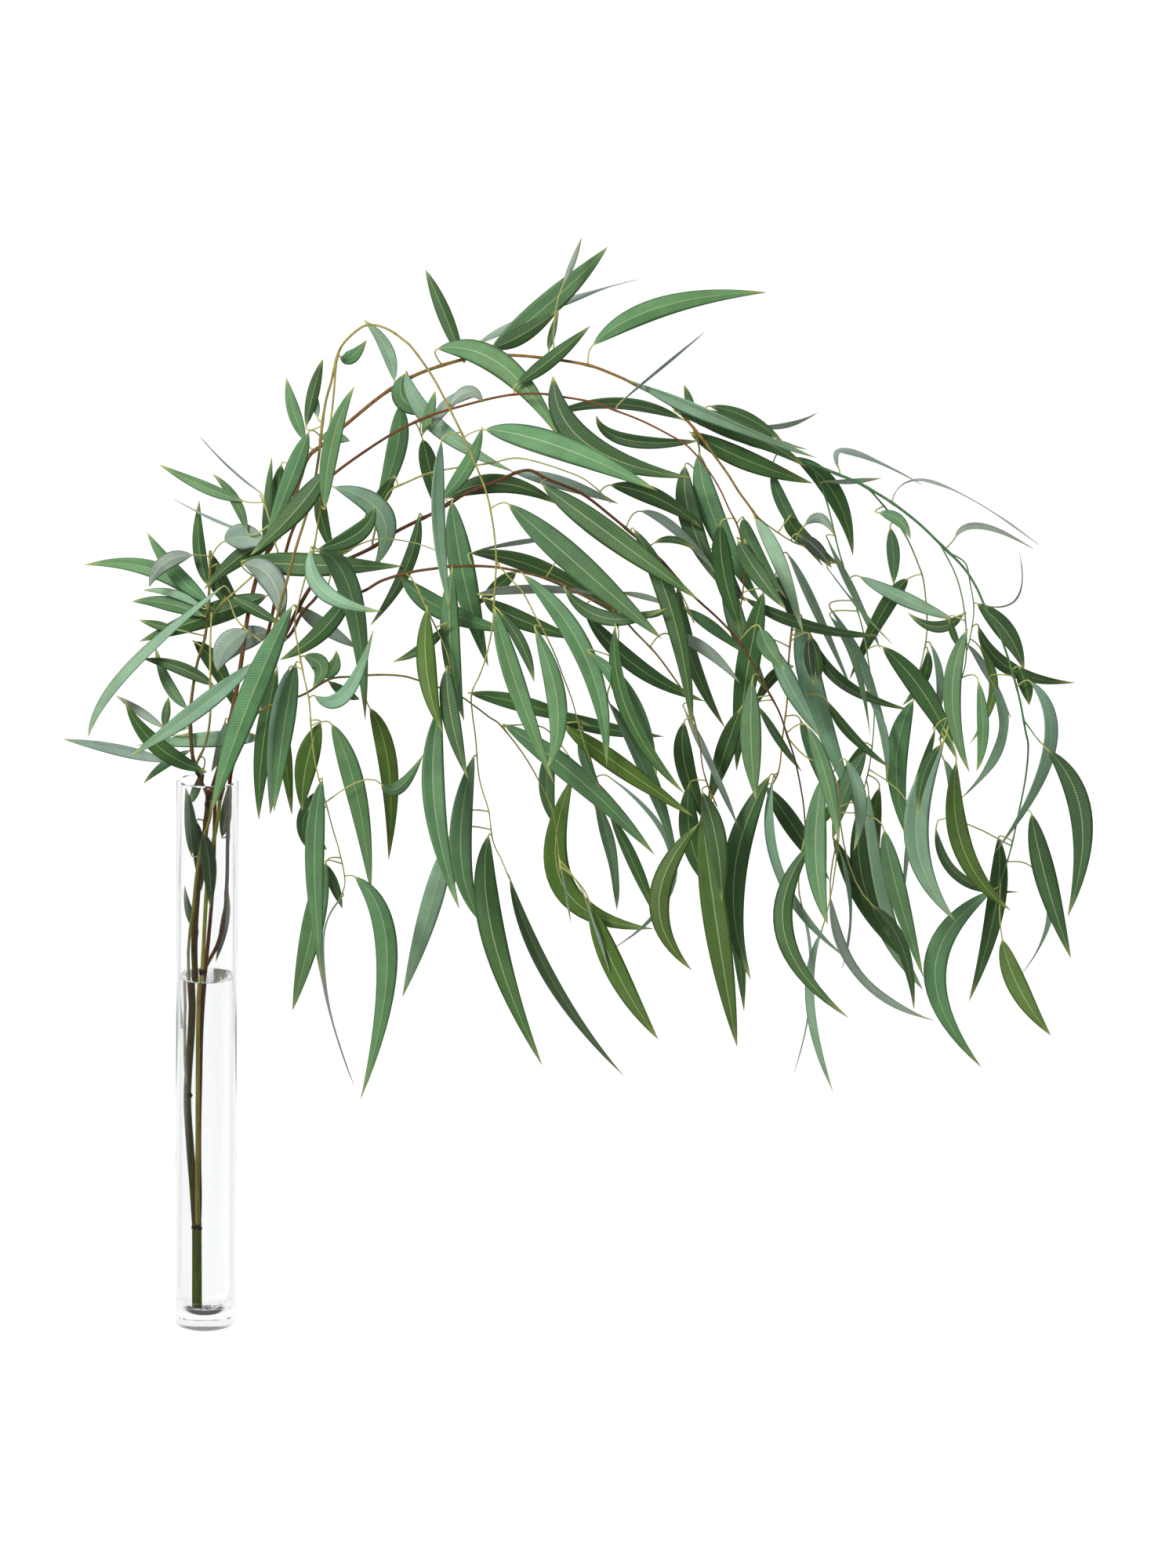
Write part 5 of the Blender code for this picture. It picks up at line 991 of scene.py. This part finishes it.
# The base stem carries its own few leaves, inside the glass
SHADE_IN_VASE = 0.8
base_shape = new_shape()
base_stems = [stem for stem in grown if stem["node"] == "base_stem"]
base_spots = free_spots(base_stems[:len(BASE_TINTS)])
for letter, *numbers, look_width in LEAVES_IN_VASE:
    seen = list(zip(numbers[0::2], numbers[1::2]))
    stem, place = take_spot(base_spots, seen)
    root = stem["route"][place]
    near = root.y + (-1 if letter.isupper() else 1) * (radius_at(stem, place) + STALK_START)
    add_leaf(base_shape, letter, seen, look_width, root, 1.0, (near, near * 0.8), SHADE_IN_VASE)
for x, z, depth, radius in SCARS:
    place, share = through_water(as_seen(x, z, depth))
    add_scar(base_shape, place, radius * share, 0)
for index, stem in enumerate(base_stems):
    tints = BASE_TINTS[index] if index < len(BASE_TINTS) else STUB_TINTS
    add_stem(base_shape, stem, 0, tints, BASE_SIDES)
base_piece = finished_piece("base_stem_bark", base_shape, branch_materials)
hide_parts("base_stem")
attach(base_piece, "root")

# The leafy stems
# Each arching stem with its twigs and leaves is one growth. The stems are thin and hang under
# the leaves' weight, red-brown where they are older and yellow-green at their tips.

LEAFY_SIDES = 10
SLIMMER = 0.82  # the real stems are finer than their solids
STEM_TINTS = {
    "left_spray": ("4A2218", "7E7A3C"), "high_arch": ("5A2C1E", "9A7A3A"),
    "far_spray": ("3A6440", "5C8656"), "second_arch": ("552A1E", "80502E"),
    "middle_arch": ("44221A", "6E4A2E"), "low_arch": ("4E2A1E", "84683C"),
    "lowest_arch": ("54301E", "96924C"), "front_arch": ("7A4A2C", "B4B262")}
TWIG_TINTS = {"far_spray": ("4E7A4C", "86A066")}
YOUNG_TWIG = ("96904A", "B0AE66")
for name in dict.fromkeys(stem["node"] for stem in grown if stem["node"] != "base_stem"):
    shape = new_shape()
    for stem in grown:
        if stem["node"] == name:
            twig = stem["carrier"] is not None
            tints = TWIG_TINTS.get(name, YOUNG_TWIG) if twig else STEM_TINTS[name]
            add_stem(shape, stem, 0, tints, LEAFY_SIDES, SLIMMER)
    for letter, seen, look_width, stem, place, roll_side, depths in leaves:
        if stem["node"] == name:
            add_leaf(shape, letter, seen, look_width, stem["route"][place], roll_side, depths)
    piece = finished_piece(name + "_foliage", shape, branch_materials)
    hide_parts(name)
    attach(piece, "root")

# The setting
# A plain white floor and even, soft studio light from all round, as for a cut-out picture.

FLOOR_SIZE = 30.0
FLOOR_WHITE = "909090"
FLOOR_DARK = "101010"
DARK_FRONT = 0.05
SOFT_WALLS = 0.55
LIGHT_TURNS = 300
CAMERA_LENS = 89.5
CAMERA_TILT = 12.5
CAMERA_ROLL = 1.47
FRONT_TO_REAR = {"From Min": -0.45, "From Max": 0.0}  # where the dark front turns into the white rear


def light_turns(material):
    """Two sockets: whether the light was mirrored on its way, and whether it is seen straight on."""
    path = add_node(material, "ShaderNodeLightPath")
    mirrored = add_node(
        material, "ShaderNodeMath", {"operation": "GREATER_THAN", 1: 0.5},
        {0: path.outputs["Glossy Depth"]})
    direct = add_node(
        material, "ShaderNodeMath", {"operation": "MAXIMUM"},
        {0: path.outputs["Is Camera Ray"], 1: path.outputs["Is Transmission Ray"]})
    turned = add_node(
        material, "ShaderNodeMath", {"operation": "MAXIMUM"},
        {0: mirrored.outputs[0], 1: path.outputs["Diffuse Depth"]})
    straight = add_node(
        material, "ShaderNodeMath", {"operation": "GREATER_THAN"},
        {0: direct.outputs[0], 1: turned.outputs[0]})
    return mirrored.outputs[0], straight.outputs[0]


bpy.ops.mesh.primitive_plane_add(size=FLOOR_SIZE, location=(0, 0, 0))
floor = bpy.context.object
floor.name = "studio_floor"
# Translucent white acrylic, lit from below as a light table is, so that it gives no grey shadow
acrylic, acrylic_shader = new_material(
    "lit white acrylic", Roughness=0.9, Emission_Color=linear("FFFFFF"))
acrylic_mirrored, acrylic_straight = light_turns(acrylic)
acrylic_place = add_node(acrylic, "ShaderNodeTexCoord")
acrylic_way = add_node(
    acrylic, "ShaderNodeVectorMath", {"operation": "NORMALIZE"}, {0: acrylic_place.outputs["Object"]})
acrylic_axes = add_node(acrylic, "ShaderNodeSeparateXYZ", None, {0: acrylic_way.outputs[0]})
acrylic_rear = add_node(
    acrylic, "ShaderNodeMapRange", FRONT_TO_REAR, {"Value": acrylic_axes.outputs["Y"]})
acrylic_shine = add_node(
    acrylic, "ShaderNodeMath", {"operation": "MULTIPLY"},
    {0: acrylic_mirrored, 1: acrylic_rear.outputs[0]})
acrylic_seen = add_node(
    acrylic, "ShaderNodeMath", {"operation": "MAXIMUM"},
    {0: acrylic_straight, 1: acrylic_shine.outputs[0]})
acrylic_glow = add_node(
    acrylic, "ShaderNodeMapRange", {"To Min": 0.1, "To Max": 0.9}, {"Value": acrylic_seen.outputs[0]})
acrylic.node_tree.links.new(acrylic_glow.outputs[0], acrylic_shader.inputs["Emission Strength"])
# A dark front keeps the glass from mirroring a grey veil over the stems behind it
acrylic_colour = add_node(
    acrylic, "ShaderNodeMix",
    {"data_type": "RGBA", 6: linear(FLOOR_WHITE), 7: linear(FLOOR_DARK)}, {0: acrylic_mirrored})
acrylic.node_tree.links.new(acrylic_colour.outputs[2], acrylic_shader.inputs["Base Color"])
floor.data.materials.append(acrylic)

# The white walls all round look white, and give the branch a softer light than they show
world = bpy.data.worlds.new("studio")
world.use_nodes = True
world_mirrored, world_straight = light_turns(world)
world_place = add_node(world, "ShaderNodeTexCoord")
world_axes = add_node(world, "ShaderNodeSeparateXYZ", None, {0: world_place.outputs["Generated"]})
world_front = add_node(
    world, "ShaderNodeMapRange",
    {**FRONT_TO_REAR, "To Min": DARK_FRONT, "To Max": 1.0}, {"Value": world_axes.outputs["Y"]})
world_soft = add_node(
    world, "ShaderNodeMix", {2: SOFT_WALLS}, {0: world_mirrored, 3: world_front.outputs[0]})
world_glow = add_node(
    world, "ShaderNodeMix", {3: 1.0}, {0: world_straight, 2: world_soft.outputs[0]})
background = world.node_tree.nodes["Background"]
background.inputs["Color"].default_value = (1, 1, 1, 1)
world.node_tree.links.new(world_glow.outputs[0], background.inputs["Strength"])
bpy.context.scene.world = world
bpy.context.scene.view_settings.view_transform = "Standard"

# Light runs down a glass wall as in a pipe, so it is followed for many turns before it goes dark
for kind in ("max_bounces", "glossy_bounces", "transmission_bounces"):
    setattr(bpy.context.scene.cycles, kind, LIGHT_TURNS)


def add_softbox(name, place, aim, size, power):
    """A square soft light that faces a point."""
    lamp = bpy.data.lights.new(name, "AREA")
    lamp.size = size
    lamp.energy = power
    light = bpy.data.objects.new(name, lamp)
    light.location = place
    light.rotation_euler = (Vector(place) - Vector(aim)).to_track_quat("Z", "Y").to_euler()
    bpy.context.scene.collection.objects.link(light)


add_softbox("key", (-1.3, -2.6, 2.4), (0.3, 0, 0.6), 0.9, 95)

# The camera stands where the photograph's did: 3.3 m off, above the vase's mouth, looking down
camera_data = bpy.data.cameras.new("camera")
camera_data.lens = CAMERA_LENS
camera_data.sensor_width = 36.0
camera_data.clip_end = 100.0
camera = bpy.data.objects.new("camera", camera_data)
camera.location = EYE * MM
look = Euler((math.radians(90 - CAMERA_TILT), 0, 0)).to_matrix()
look = look @ Matrix.Rotation(math.radians(CAMERA_ROLL), 3, "Z")
camera.rotation_euler = look.to_euler()
bpy.context.scene.collection.objects.link(camera)
bpy.context.scene.camera = camera
